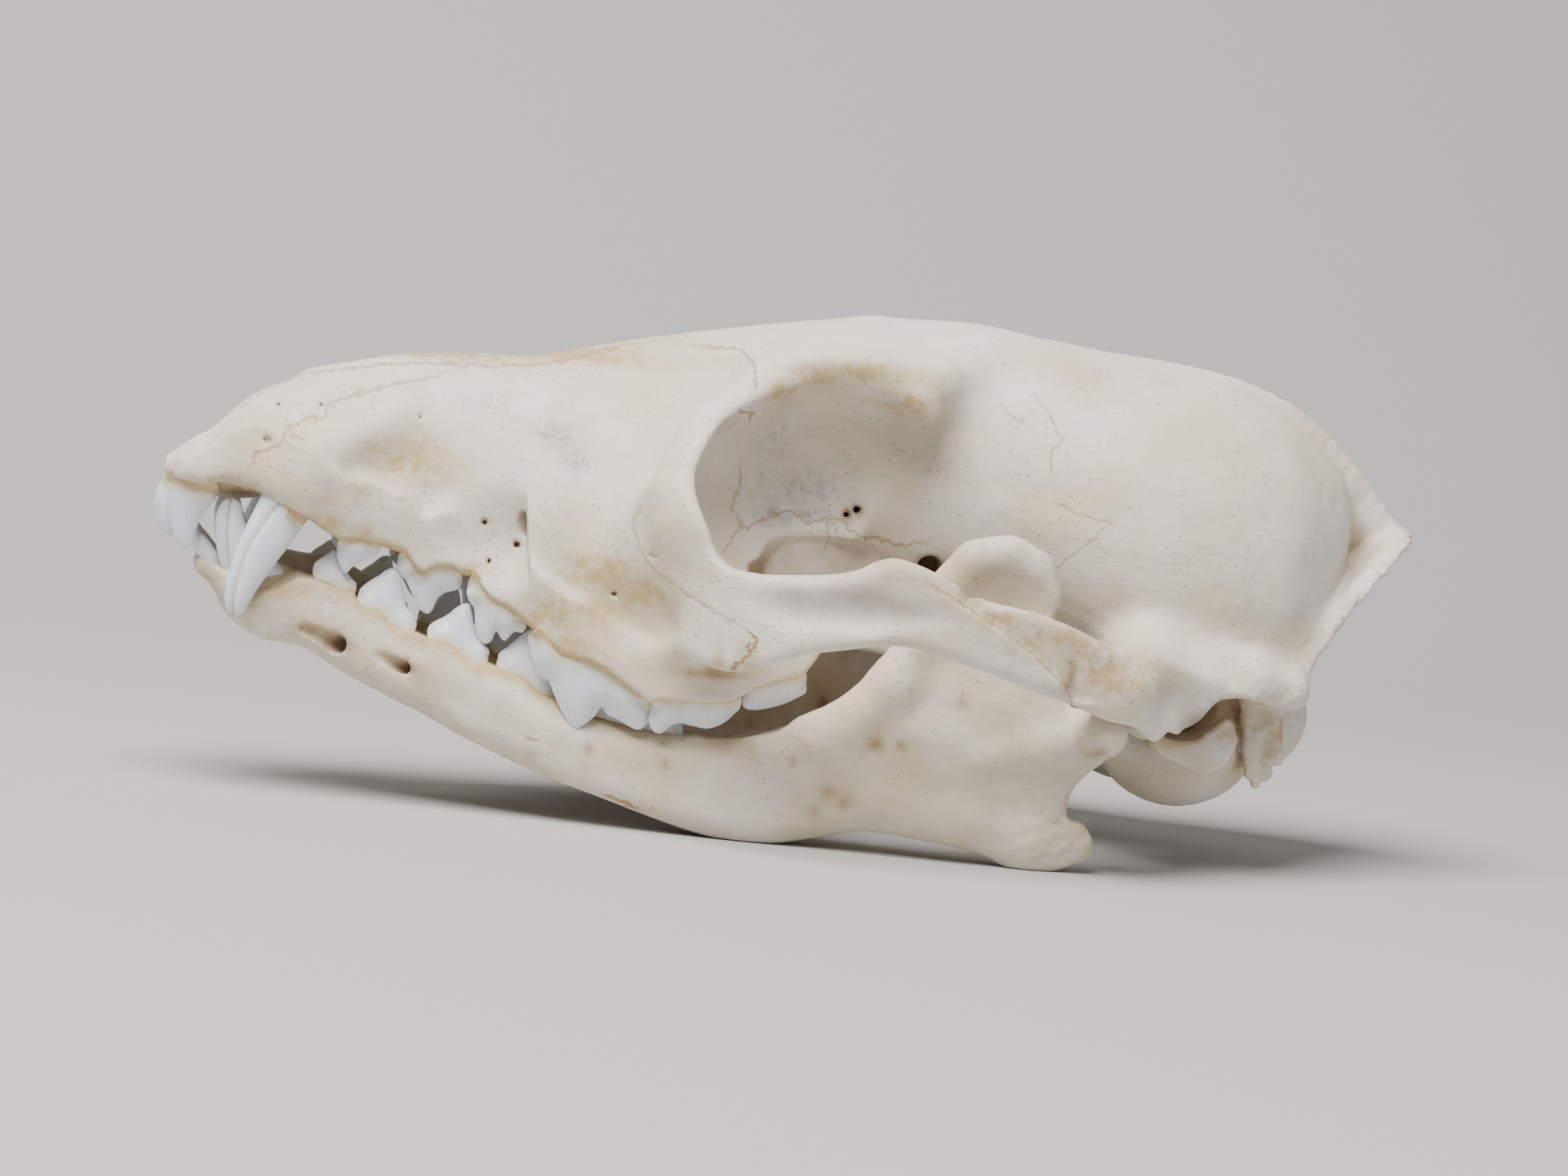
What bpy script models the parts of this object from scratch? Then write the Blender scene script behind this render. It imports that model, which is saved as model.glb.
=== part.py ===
"""A jackal skull with its lower jaw in place, resting on the jaw's underside.

Sizes are in millimetres, and MM turns them into Blender's metres. X runs from the front teeth to the back of
the head, Y to the animal's right, and Z up from the surface that the skull rests on. Each bone is a sum of
rounded forms. Every form is a signed distance, negative inside, over a block of sample points. The forms are
blended, given a surface, thinned out and parted along the real sutures, and the teeth are set in last.
"""

import math

import bmesh
import bpy
import numpy as np
import openvdb

MM = 0.001

# Driving sizes, in millimetres. X is measured here from the tips of the front teeth, and MIDDLE_X is the middle
# of the whole skull's length, which the finished objects have at zero.
MIDDLE_X = 83.69
SAMPLE_STEP = 0.8
SEAM_GAP = 0.3
ROOT_DEPTH = 4.0
TOOTH_SIDES = 7

# Triangles kept on each surface before it is parted and the teeth are set.
SKULL_TRIANGLES = 6600
JAW_TRIANGLES = 3000

# The blocks of points that hold the skull and the jaw, as lowest and highest corners.
SKULL_BLOCK = ((-2.0, 0.0, 3.0), (170.0, 50.0, 72.0))
JAW_BLOCK = ((3.0, 0.0, -4.0), (127.0, 44.0, 46.0))

BONE_COLOUR = (0.80, 0.74, 0.64, 1.0)
JAW_COLOUR = (0.76, 0.70, 0.60, 1.0)
BONE_ROUGHNESS = 0.55

# The roller of the jaw's hinge, shared by the jaw and its socket in the skull.
HINGE_INNER = (119.6, 24.5, 17.8)
HINGE_OUTER = (119.8, 36.2, 18.4)
HINGE_RADII = (2.3, 2.9)
HINGE_CLEARANCE = 0.9


# Forms as signed distances

def smooth_through(rows, x):
    """Smooth values at x through rows of (x, value, value ...), as one array for each value."""
    table = np.array(rows, float)
    knots = table[:, 0]
    x = np.clip(x, knots[0], knots[-1])
    span = np.clip(np.searchsorted(knots, x) - 1, 0, len(knots) - 2)
    width = knots[span + 1] - knots[span]
    t = (x - knots[span]) / width
    found = []
    for values in table[:, 1:].T:
        slopes = np.gradient(values, knots)
        found.append(
            (2 * t**3 - 3 * t**2 + 1) * values[span]
            + (t**3 - 2 * t**2 + t) * width * slopes[span]
            + (3 * t**2 - 2 * t**3) * values[span + 1]
            + (t**3 - t**2) * width * slopes[span + 1]
        )
    return found


def join(first, second, radius):
    """Both forms, with a fillet of about this radius between them."""
    near = np.maximum(radius - np.abs(first - second), 0) / radius
    return np.minimum(first, second) - near * near * radius / 4


def carve(body, hollow, radius):
    """The body without the hollow, its new edges rounded to about this radius."""
    return -join(-body, hollow, radius)


def overlap_of(first, second, radius):
    """The part that both forms hold, its edges rounded."""
    return -join(-first, -second, radius)


def loft(block, rows, powers=(2.3, 2.3), bow=1.6, end=2.0):
    """A body lofted along X from rows of (x, underside, top, half width low down, half width high up).

    The two powers make its section squarer below and above. Bow says how late the width changes on the way up.
    """
    x, y, z = block
    low, high, half_low, half_high = smooth_through(rows, x)
    rise = (z - low) / (high - low)
    half = half_low + (half_high - half_low) * np.clip(rise, 0, 1) ** bow
    power = np.where(rise < 0.5, powers[0], powers[1])
    reach = ((y / half) ** power + np.abs(2 * rise - 1) ** power) ** (1 / power)
    body = (reach - 1) * np.minimum(half, (high - low) / 2)
    return overlap_of(body, np.maximum(rows[0][0] - x, x - rows[-1][0]), end)


def ellipsoid(block, centre, radii, pitch=0.0):
    """An ellipsoid, its front end lifted by pitch degrees."""
    x, y, z = (p - c for p, c in zip(block, centre))
    c, s = math.cos(math.radians(pitch)), math.sin(math.radians(pitch))
    x, z = x * c - z * s, x * s + z * c
    reach = np.sqrt((x / radii[0]) ** 2 + (y / radii[1]) ** 2 + (z / radii[2]) ** 2)
    slope = np.sqrt((x / radii[0] ** 2) ** 2 + (y / radii[1] ** 2) ** 2 + (z / radii[2] ** 2) ** 2)
    return reach * (reach - 1) / np.maximum(slope, 1e-6)


def bar(block, points, radii, blend=1.0):
    """A round bar through points, its radius changing from one point to the next."""
    x, y, z = block
    whole = None
    for start, finish, r_start, r_finish in zip(points, points[1:], radii, radii[1:]):
        run = [b - a for a, b in zip(start, finish)]
        length = sum(d * d for d in run)
        along = ((x - start[0]) * run[0] + (y - start[1]) * run[1] + (z - start[2]) * run[2]) / length
        t = np.clip(along, 0, 1)
        away = [p - a - d * t for p, a, d in zip(block, start, run)]
        piece = np.sqrt(away[0] ** 2 + away[1] ** 2 + away[2] ** 2) - (r_start + (r_finish - r_start) * t)
        whole = piece if whole is None else join(whole, piece, blend)
    return whole


def rounded_outline(corners, steps=5):
    """A closed curve through the corners."""
    points = np.array(corners, float)
    a, c, d = (np.roll(points, -n, axis=0) for n in (-1, 1, 2))
    found = []
    for t in np.arange(steps) / steps:
        found.append(0.5 * (2 * points + (c - a) * t + (2 * a - 5 * points + 4 * c - d) * t**2
                            + (3 * points - a - 3 * c + d) * t**3))
    return np.stack(found, axis=1).reshape(-1, 2)


def outline_distance(x, z, corners):
    """Signed distance in the XZ plane from the closed curve through the corners."""
    outline = rounded_outline(corners)
    nearest = None
    inside = False
    for (x0, z0), (x1, z1) in zip(outline, np.roll(outline, -1, axis=0)):
        run_x, run_z = x1 - x0, z1 - z0
        t = np.clip(((x - x0) * run_x + (z - z0) * run_z) / (run_x**2 + run_z**2), 0, 1)
        away = (x - x0 - run_x * t) ** 2 + (z - z0 - run_z * t) ** 2
        nearest = away if nearest is None else np.minimum(nearest, away)
        if z0 != z1:
            inside = inside ^ (((z0 > z) != (z1 > z)) & (x < x0 + run_x * (z - z0) / run_z))
    return np.sqrt(nearest) * np.where(inside, -1, 1)


def plate(block, corners, middle, half, edge=1.0):
    """A plate with that outline in XZ. Its middle Y and half thickness may change along X."""
    x, y, z = block
    outline = outline_distance(x, z, corners)
    return overlap_of(outline, np.abs(y - middle) - half, edge)


# The skull

def snout(block):
    """The front of the face, from the front teeth back under the eyes, its underside along the gums."""
    return loft(block, (
        (2.0, 36.6, 40.4, 6.6, 5.6),
        (6.0, 37.8, 44.6, 9.4, 6.4),
        (12.0, 38.8, 51.3, 11.6, 6.6),
        (17.0, 37.7, 53.6, 13.2, 6.6),
        (23.0, 34.0, 55.4, 12.4, 6.4),
        (32.0, 31.8, 57.4, 12.6, 6.4),
        (41.0, 29.0, 58.2, 15.0, 6.8),
        (49.0, 23.5, 59.2, 19.0, 7.8),
        (57.0, 19.4, 60.4, 23.0, 9.6),
        (65.0, 16.9, 61.4, 25.0, 12.0),
        (76.0, 17.5, 62.4, 24.4, 13.6),
        (84.0, 23.4, 63.4, 20.0, 13.0),
        (90.0, 30.0, 63.6, 12.0, 11.0),
    ), powers=(4.5, 2.2))


def braincase(block):
    """The roof between the eyes, the pinched waist behind them, and the brain's round case."""
    return loft(block, (
        (70.0, 36.0, 60.0, 8.0, 12.0),
        (84.0, 33.0, 65.4, 8.5, 13.8),
        (92.0, 31.5, 67.0, 9.5, 15.0),
        (100.0, 30.0, 67.4, 12.5, 14.0),
        (108.0, 27.5, 67.1, 18.0, 16.5),
        (116.0, 24.5, 65.9, 23.5, 20.0),
        (124.0, 21.5, 64.8, 26.0, 22.0),
        (132.0, 19.5, 64.2, 26.4, 22.5),
        (140.0, 18.6, 62.6, 25.4, 21.0),
        (146.0, 18.8, 59.8, 22.5, 18.5),
        (151.0, 20.5, 55.4, 16.5, 14.5),
        (155.5, 26.0, 50.0, 10.0, 9.0),
    ), end=3.0)


def cheek_arch(block):
    """The cheek's arch: its outline from the side, bowed out round the jaw muscle."""
    x = block[0]
    middle, half = smooth_through((
        (54.0, 19.0, 3.6),
        (62.0, 25.0, 3.6),
        (66.0, 29.0, 3.4),
        (71.0, 34.0, 3.0),
        (78.0, 38.8, 2.3),
        (86.0, 41.8, 2.0),
        (96.0, 43.2, 1.9),
        (106.0, 42.8, 1.9),
        (114.0, 40.8, 2.2),
        (122.0, 36.0, 3.2),
        (129.0, 30.0, 4.6),
        (137.0, 24.5, 4.6),
    ), x)
    return plate(block, (
        (60.0, 42.0), (64.0, 42.6), (66.8, 40.0), (71.7, 35.6), (79.1, 35.8), (89.4, 38.5), (98.1, 35.6),
        (110.3, 32.9), (122.0, 28.6), (134.0, 26.0), (140.0, 22.5), (134.0, 20.5), (127.4, 20.5), (120.0, 20.6),
        (107.3, 24.4), (93.0, 27.9), (82.4, 26.3), (77.8, 24.6), (70.0, 21.0), (60.0, 20.5), (54.0, 30.0),
    ), middle, half, edge=1.8)


def jaw_socket(block):
    """The root of the arch over the jaw's hinge, with the lip that stops the jaw from slipping back."""
    root = bar(block, ((139.0, 20.0, 25.0), (128.0, 21.5, 26.5), (122.5, 38.0, 24.6)), (5.0, 5.4, 3.4), blend=3.0)
    lip = bar(block, ((127.6, 25.0, 19.4), (127.2, 35.0, 19.6)), (2.2, 1.8))
    return join(root, lip, 3.5)


def ear_region(block):
    """The swollen bulb under the ear, with the rough bone behind it and the spur that points down."""
    bulb = ellipsoid(block, (134.6, 14.6, 16.2), (10.6, 7.6, 8.4), pitch=-6.0)
    rough = ellipsoid(block, (141.5, 20.5, 23.0), (6.5, 5.5, 6.0))
    spur = bar(block, ((144.4, 20.0, 21.6), (144.6, 21.6, 13.0)), (2.8, 1.5))
    porch = bar(block, ((134.6, 17.0, 18.6), (135.4, 23.6, 19.0)), (5.2, 4.6))
    return join(join(bulb, porch, 2.0), join(rough, spur, 3.0), 2.5)


def back_of_head(block):
    """The flat back of the head, which stands out round the braincase as a flange with a peak on top."""
    x, y, z = block
    right = ((0.0, 45.0), (5.0, 44.4), (10.0, 41.6), (14.5, 37.4), (19.0, 32.0), (21.6, 25.0), (20.0, 18.0), (9.0, 15.0))
    left = tuple((-across, up) for across, up in reversed(right[1:]))
    edge = outline_distance(y, z, right + left)
    hollow = 3.2 * np.clip(-edge / 8.0, 0, 1)
    face = 150.4 + 0.38 * (z - 22.0) + 0.014 * (z - 22.0)**2 - 0.0138 * y**2 - hollow
    flange = overlap_of(edge, np.abs(x - face + 2.0) - 2.0, 1.0)
    core = ellipsoid(block, (149.0, 0.0, 39.0), (8.0, 13.0, 11.0), pitch=-20.0)
    keel = bar(block, ((116.0, 0.0, 65.0), (134.0, 0.0, 63.6), (148.0, 0.0, 59.6), (157.0, 0.0, 51.6), (163.4, 0.0, 44.6)),
               (1.0, 1.4, 1.7, 2.2, 1.8), blend=2.0)
    ramp = bar(block, ((147.0, 0.0, 49.0), (160.0, 0.0, 44.6)), (8.0, 3.0))
    return join(join(flange, join(core, ramp, 4.0), 4.0), keel, 3.0)


def throat_wings(block):
    """The two thin walls that hang behind the palate, one each side of the rear air passage."""
    return plate(block, (
        (80.0, 38.0), (81.0, 27.5), (90.0, 24.6), (98.0, 23.4), (105.0, 20.0), (108.2, 20.8), (107.0, 27.0),
        (101.0, 36.0), (90.0, 40.0),
    ), 7.6, 1.2, edge=0.8)


def mouth_roof(block):
    """The hollow between the upper tooth rows."""
    return loft(block, (
        (7.0, 30.0, 39.6, 4.0, 4.0),
        (17.0, 30.0, 40.6, 7.6, 7.6),
        (32.0, 25.0, 36.2, 9.4, 9.4),
        (48.0, 15.0, 30.6, 14.6, 14.6),
        (60.0, 10.0, 26.8, 17.9, 17.9),
        (74.0, 10.0, 25.2, 16.6, 16.6),
        (90.0, 14.0, 30.0, 14.0, 14.0),
    ), powers=(3.0, 3.0))


def skull_form(block):
    """The whole skull without its jaw and teeth."""
    form = join(snout(block), braincase(block), 5.0)
    form = join(form, bar(block, ((17.0, 10.4, 38.5), (22.0, 9.8, 44.0), (29.5, 8.6, 48.5)), (2.9, 2.5, 1.2)), 3.0)
    form = join(form, bar(block, ((88.0, 13.0, 60.5), (95.4, 21.0, 56.6)), (5.0, 1.6)), 5.0)
    form = join(form, bar(block, ((66.4, 27.5, 40.0), (66.2, 24.0, 45.6), (69.6, 20.0, 51.4), (75.6, 16.5, 56.4)),
                          (4.0, 4.0, 3.6, 3.0), blend=3.0), 5.0)
    form = carve(form, ellipsoid(block, (83.5, 30.0, 43.2), (17.4, 21.0, 16.2)), 1.6)
    form = join(form, cheek_arch(block), 3.0)
    form = join(form, jaw_socket(block), 4.0)
    form = join(form, back_of_head(block), 5.0)
    form = join(form, ear_region(block), 2.5)
    form = join(form, ellipsoid(block, (147.6, 9.2, 19.0), (4.4, 4.6, 6.2), pitch=20.0), 2.5)
    form = carve(form, mouth_roof(block), 1.5)
    form = join(form, throat_wings(block), 2.0)
    form = carve(form, bar(block, ((72.0, 0.0, 33.0), (92.0, 0.0, 30.6), (112.0, 0.0, 25.4)), (4.6, 5.4, 4.0)), 1.2)
    form = carve(form, ellipsoid(block, (9.0, 0.0, 51.0), (9.6, 5.6, 8.4)), 1.0)
    form = carve(form, bar(block, ((8.0, 0.0, 47.0), (26.0, 0.0, 47.6)), (5.2, 4.2)), 1.0)
    form = carve(form, ellipsoid(block, (51.0, 20.4, 40.5), (7.5, 3.0, 4.8), pitch=8.0), 1.2)
    form = carve(form, ellipsoid(block, (159.0, 0.0, 25.0), (16.0, 7.6, 6.2)), 1.2)
    form = carve(form, bar(block, ((135.8, 34.0, 20.0), (135.6, 19.0, 18.8)), (3.6, 2.6)), 1.0)
    socket = bar(block, (HINGE_INNER, HINGE_OUTER), [r + HINGE_CLEARANCE for r in HINGE_RADII])
    return carve(form, socket, 0.8)


# The lower jaw

def jaw_form(block, empty_sockets=False):
    """Both halves of the lower jaw, joined at the chin. The left one has lost its two rear teeth."""
    x = block[0]
    middle, half, blade_half = smooth_through((
        (7.0, 3.6, 2.6, 1.6),
        (14.0, 5.6, 3.7, 1.6),
        (20.0, 6.9, 3.9, 1.6),
        (33.0, 9.8, 3.9, 1.6),
        (46.0, 13.4, 4.0, 1.6),
        (60.0, 16.8, 4.4, 1.6),
        (75.0, 19.8, 4.3, 1.6),
        (90.0, 23.3, 3.5, 1.7),
        (105.0, 27.2, 2.4, 1.7),
        (113.0, 28.4, 2.0, 1.7),
        (121.0, 29.4, 1.8, 1.7),
    ), x)
    chin = loft(block, (
        (6.4, 28.4, 30.6, 4.6, 4.8),
        (9.0, 26.2, 30.4, 6.8, 6.8),
        (14.0, 22.0, 28.2, 9.0, 8.6),
        (20.0, 19.1, 26.0, 9.6, 9.6),
        (26.0, 16.4, 22.6, 10.0, 10.0),
        (34.0, 13.6, 17.6, 9.6, 9.6),
    ), powers=(2.2, 2.6))
    body = plate(block, (
        (6.8, 30.2), (13.0, 27.6), (18.0, 28.4), (26.0, 27.0), (35.0, 22.3), (44.0, 19.8), (52.0, 15.9),
        (61.0, 13.4), (76.0, 12.8), (85.0, 15.4), (94.0, 18.5), (104.0, 15.0), (107.0, 8.0), (103.0, 2.6),
        (93.5, 2.2), (86.0, 0.6), (76.0, -0.5), (60.0, 3.4), (46.0, 7.8), (32.0, 13.7), (21.4, 18.5),
        (13.7, 22.2), (9.9, 25.7),
    ), middle, half, edge=3.4)
    blade = plate(block, (
        (82.0, 14.5), (88.1, 18.3), (92.8, 22.5), (97.0, 29.0), (100.4, 35.9), (103.3, 40.0), (107.3, 41.2),
        (111.2, 39.8), (113.0, 36.0), (113.2, 30.0), (114.0, 25.0), (117.0, 20.5), (120.5, 18.5), (120.4, 14.5),
        (117.6, 10.0), (117.6, 6.8), (120.6, 4.6), (119.6, 1.6), (112.6, -0.5), (104.8, 1.7), (95.0, 3.0),
        (86.0, 6.0),
    ), middle + 0.6, blade_half, edge=1.6)
    front_ridge = bar(block, ((87.0, 23.4, 13.0), (94.5, 26.0, 22.0), (98.5, 27.2, 31.0), (103.0, 28.0, 38.5)),
                      (3.0, 2.8, 2.1, 1.6), blend=2.0)
    lower_ridge = bar(block, ((94.0, 25.0, 5.4), (105.0, 27.6, 4.2), (113.0, 28.8, 2.8), (118.0, 28.8, 4.2)),
                      (2.6, 2.4, 2.5, 1.9), blend=2.0)
    neck = bar(block, ((106.0, 28.0, 13.0), (114.0, 29.0, 15.4), (119.2, 30.4, 17.0)), (1.8, 2.4, 2.8), blend=2.0)
    hinge = bar(block, (HINGE_INNER, HINGE_OUTER), HINGE_RADII)
    fang_swell = ellipsoid(block, (16.0, 6.6, 24.6), (7.0, 3.4, 4.8), pitch=20.0)
    form = join(chin, body, 3.0)
    form = join(form, fang_swell, 2.0)
    form = join(form, blade, 3.0)
    form = join(form, join(front_ridge, lower_ridge, 2.0), 2.5)
    form = join(form, join(neck, hinge, 2.5), 2.0)
    if empty_sockets:
        for x_at, z_at, radius in ((71.2, 12.6, 1.9), (76.8, 12.9, 1.8), (81.6, 14.0, 1.5)):
            y_at = 19.0 + (x_at - 71.0) * 0.2
            hole = bar(block, ((x_at, y_at, z_at + 2.0), (x_at + 0.6, y_at, z_at - 4.5)), (radius, radius * 0.7))
            form = carve(form, hole, 0.5)
    return form


# Outlines in XZ that part the bones along their seams. BEYOND lies outside every bone.

BEYOND = 60.0
SIDES = (("left", -1), ("right", 1))
CHEEK_DEPTH = 28.0
CHEEK_OUTLINE = (
    (72.0, 44.5), (66.0, 43.5), (63.6, 40.0), (63.9, 35.3), (68.7, 31.1), (74.5, 27.1), (73.4, 23.6), (73.0, 14.0),
    (116.0, 14.0), (115.5, 22.4), (104.5, 30.7), (94.0, 38.0), (90.0, 50.0),
)
FACE_OUTLINE = (
    (-5.0, 80.0), (77.0, 80.0), (76.6, 58.0), (73.0, 52.6), (66.2, 50.0), (64.6, 46.6), (70.0, 45.2), (74.0, 39.6),
    (79.6, 40.6), (87.0, 39.9), (89.6, 36.0), (90.0, 0.0), (-5.0, 0.0),
)
JAW_OUTLINE = ((-5.0, -10.0), (-5.0, 50.0), (130.0, 50.0), (130.0, -10.0))


# Teeth, as cusps that rise from a neck at the gum
# A cusp is (neck centre, half length and half width at the neck, tip).

UPPER_TEETH = (
    ((3.0, 1.9, 38.4), (1.5, 1.5), (1.2, 1.9, 32.4)),
    ((3.9, 4.9, 38.6), (1.6, 1.6), (2.2, 4.9, 31.7)),
    ((6.8, 7.6, 39.0), (2.0, 1.8), (4.7, 7.8, 30.0)),
    ((26.5, 10.9, 33.6), (2.4, 1.5), (25.2, 11.1, 29.2)),
    ((35.8, 12.2, 31.2), (4.1, 1.7), (35.5, 12.5, 24.7)),
    ((43.9, 14.6, 28.0), (3.5, 1.8), (43.3, 15.0, 21.6)),
    ((46.6, 15.6, 26.4), (1.9, 1.5), (46.0, 15.8, 22.4)),
    ((50.6, 18.2, 24.0), (2.4, 1.9), (50.6, 18.6, 19.6)),
    ((55.0, 20.2, 21.2), (4.4, 2.0), (55.5, 20.6, 12.3)),
    ((61.0, 22.2, 18.8), (2.9, 1.9), (62.2, 22.4, 13.3)),
    ((67.2, 23.0, 18.0), (3.2, 2.4), (66.6, 24.0, 13.4)),
    ((72.8, 22.8, 18.0), (3.0, 2.4), (72.6, 23.6, 14.2)),
    ((69.6, 19.0, 19.6), (4.0, 3.6), (69.6, 18.4, 17.4)),
    ((79.2, 20.6, 20.4), (3.2, 2.6), (78.4, 20.8, 16.9)),
    ((82.4, 19.4, 22.4), (1.9, 2.0), (82.2, 19.4, 19.4)),
)
LOWER_TEETH = (
    ((7.4, 1.3, 29.4), (1.3, 1.1), (5.4, 1.3, 33.0)),
    ((7.8, 3.6, 29.4), (1.3, 1.2), (5.9, 3.7, 33.2)),
    ((8.8, 5.5, 29.0), (1.4, 1.2), (7.2, 5.8, 33.0)),
    ((23.0, 8.9, 27.6), (2.3, 1.5), (23.4, 9.0, 31.4)),
    ((30.8, 10.3, 24.4), (3.8, 1.6), (31.2, 10.4, 30.0)),
    ((39.9, 12.0, 21.2), (4.0, 1.7), (40.4, 12.2, 26.6)),
    ((48.6, 13.3, 18.4), (3.7, 1.8), (49.0, 13.2, 24.2)),
    ((51.4, 14.0, 17.0), (1.9, 1.5), (51.9, 14.0, 20.6)),
    ((57.0, 15.2, 14.6), (3.8, 2.0), (56.4, 15.3, 20.4)),
    ((61.6, 16.0, 13.8), (3.6, 2.0), (61.4, 16.1, 22.0)),
    ((66.6, 17.2, 13.0), (2.9, 2.3), (66.6, 17.3, 16.2)),
)
REAR_RIGHT_TEETH = (
    ((73.2, 18.6, 12.8), (3.3, 2.5), (72.8, 18.6, 15.4)),
    ((79.6, 19.8, 13.4), (1.8, 1.7), (79.4, 19.8, 15.2)),
)
# A fang is rows of (centre, half length, half width) from its root to its tip.
UPPER_FANG = (
    ((18.6, 10.6, 43.0), 1.8, 1.6),
    ((16.9, 11.0, 37.4), 2.35, 1.9),
    ((15.2, 11.5, 32.0), 2.0, 1.55),
    ((13.0, 11.8, 26.0), 1.3, 1.05),
    ((11.5, 11.7, 22.5), 0.35, 0.35),
)
LOWER_FANG = (
    ((18.4, 6.6, 22.5), 2.0, 1.6),
    ((15.3, 7.2, 27.4), 2.5, 1.85),
    ((12.6, 7.8, 32.0), 1.8, 1.4),
    ((10.6, 8.4, 35.4), 1.0, 0.85),
    ((9.7, 8.7, 37.2), 0.3, 0.3),
)
# How far up a cusp each ring lies, and how much of the neck's size it keeps.
CUSP_RINGS = ((-1.0, 0.75), (0.0, 1.0), (0.55, 0.62), (1.0, 0.14))


def cusp_rings(neck, halves, tip):
    """The rings of one cusp, from the end of its root to its tip."""
    neck, tip = np.array(neck), np.array(tip)
    rings = []
    for t, keep in CUSP_RINGS:
        if t < 0:
            centre = neck + (neck - tip) / np.linalg.norm(neck - tip) * ROOT_DEPTH
        else:
            centre = neck + (tip - neck) * t
        rings.append((centre, halves[0] * keep, halves[1] * keep))
    return rings


def tooth_object(rings, side):
    """A closed tooth through its rings. Side is 1 on the animal's right and -1 on its left."""
    form = bmesh.new()
    loops = []
    for centre, half_length, half_width in rings:
        loop = []
        for step in range(TOOTH_SIDES):
            turn = 2 * math.pi * step / TOOTH_SIDES
            x = centre[0] + half_length * math.cos(turn) - MIDDLE_X
            y = (centre[1] + half_width * math.sin(turn)) * side
            loop.append(form.verts.new((x * MM, y * MM, centre[2] * MM)))
        loops.append(loop)
    for lower, upper in zip(loops, loops[1:]):
        for step in range(TOOTH_SIDES):
            after = (step + 1) % TOOTH_SIDES
            form.faces.new((lower[step], lower[after], upper[after], upper[step]))
    form.faces.new(loops[0])
    form.faces.new(loops[-1])
    bmesh.ops.triangulate(form, faces=form.faces)
    bmesh.ops.recalc_face_normals(form, faces=form.faces)
    return new_object("tooth", form)


def row_of_teeth(cusps, fang, side):
    """All the teeth of one side of a jaw, as separate closed objects."""
    teeth = [tooth_object(cusp_rings(*cusp), side) for cusp in cusps]
    teeth.append(tooth_object(fang, side))
    return teeth


# Turning forms into objects

def new_object(name, form):
    """An object with the mesh in this bmesh, which is freed."""
    mesh = bpy.data.meshes.new(name)
    form.to_mesh(mesh)
    form.free()
    shape = bpy.data.objects.new(name, mesh)
    bpy.context.scene.collection.objects.link(shape)
    return shape


def applied(shape):
    """Makes an object's modifiers part of its mesh."""
    graph = bpy.context.evaluated_depsgraph_get()
    mesh = bpy.data.meshes.new_from_object(shape.evaluated_get(graph))
    shape.modifiers.clear()
    shape.data = mesh


def sample_block(corners):
    """Sample points over the animal's right half, as three arrays that broadcast to the whole block."""
    (x0, y0, z0), (x1, y1, z1) = corners
    x = np.arange(x0, x1, SAMPLE_STEP)[:, None, None]
    y = (np.arange(y0, y1, SAMPLE_STEP) + SAMPLE_STEP / 2)[None, :, None]
    z = np.arange(z0, z1, SAMPLE_STEP)[None, None, :]
    return x, y, z


def surface(name, left, right, block, triangles):
    """A closed surface round two half forms, thinned out to about that many triangles."""
    whole = np.concatenate((left[:, ::-1, :], right), axis=1).astype(np.float32)
    grid = openvdb.FloatGrid(background=3 * SAMPLE_STEP)
    grid.copyFromArray(whole)
    points, quads = grid.convertToQuads(0.0)
    lowest = (block[0][0, 0, 0] - MIDDLE_X, -block[1][0, -1, 0], block[2][0, 0, 0])
    points = (points * SAMPLE_STEP + lowest) * MM
    mesh = bpy.data.meshes.new(name)
    mesh.from_pydata(points.tolist(), [], quads.tolist())
    form = bmesh.new()
    form.from_mesh(mesh)
    bmesh.ops.triangulate(form, faces=form.faces)
    bmesh.ops.recalc_face_normals(form, faces=form.faces)
    keep_largest(form)
    faces = len(form.faces)
    shape = new_object(name, form)
    thin = shape.modifiers.new("thin", "DECIMATE")
    thin.ratio = triangles / faces
    thin.use_symmetry = left is right
    thin.symmetry_axis = "Y"
    applied(shape)
    return shape


def shells(form):
    """The separate closed surfaces of a bmesh, each as a list of faces, largest first."""
    left_over = set(form.faces)
    found = []
    while left_over:
        pile = [left_over.pop()]
        shell = []
        while pile:
            face = pile.pop()
            shell.append(face)
            for edge in face.edges:
                for other in edge.link_faces:
                    if other in left_over:
                        left_over.remove(other)
                        pile.append(other)
        found.append(shell)
    return sorted(found, key=len, reverse=True)


def keep_largest(form):
    """Drops every closed surface but the largest."""
    for shell in shells(form)[1:]:
        bmesh.ops.delete(form, geom=shell, context="FACES")


def boolean(shape, operation, tools):
    """Cuts the tools out of an object, or joins them to it, and removes them.

    The exact solver leaves edges that touch where a cut grazes these thin, curved walls, so this is the manifold one.
    """
    group = bpy.data.collections.new("tools")
    bpy.context.scene.collection.children.link(group)
    for tool in tools:
        group.objects.link(tool)
    step = shape.modifiers.new("step", "BOOLEAN")
    step.operation = operation
    step.operand_type = "COLLECTION"
    step.collection = group
    step.solver = "MANIFOLD"
    applied(shape)
    for tool in tools:
        bpy.data.objects.remove(tool)
    bpy.data.collections.remove(group)


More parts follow.
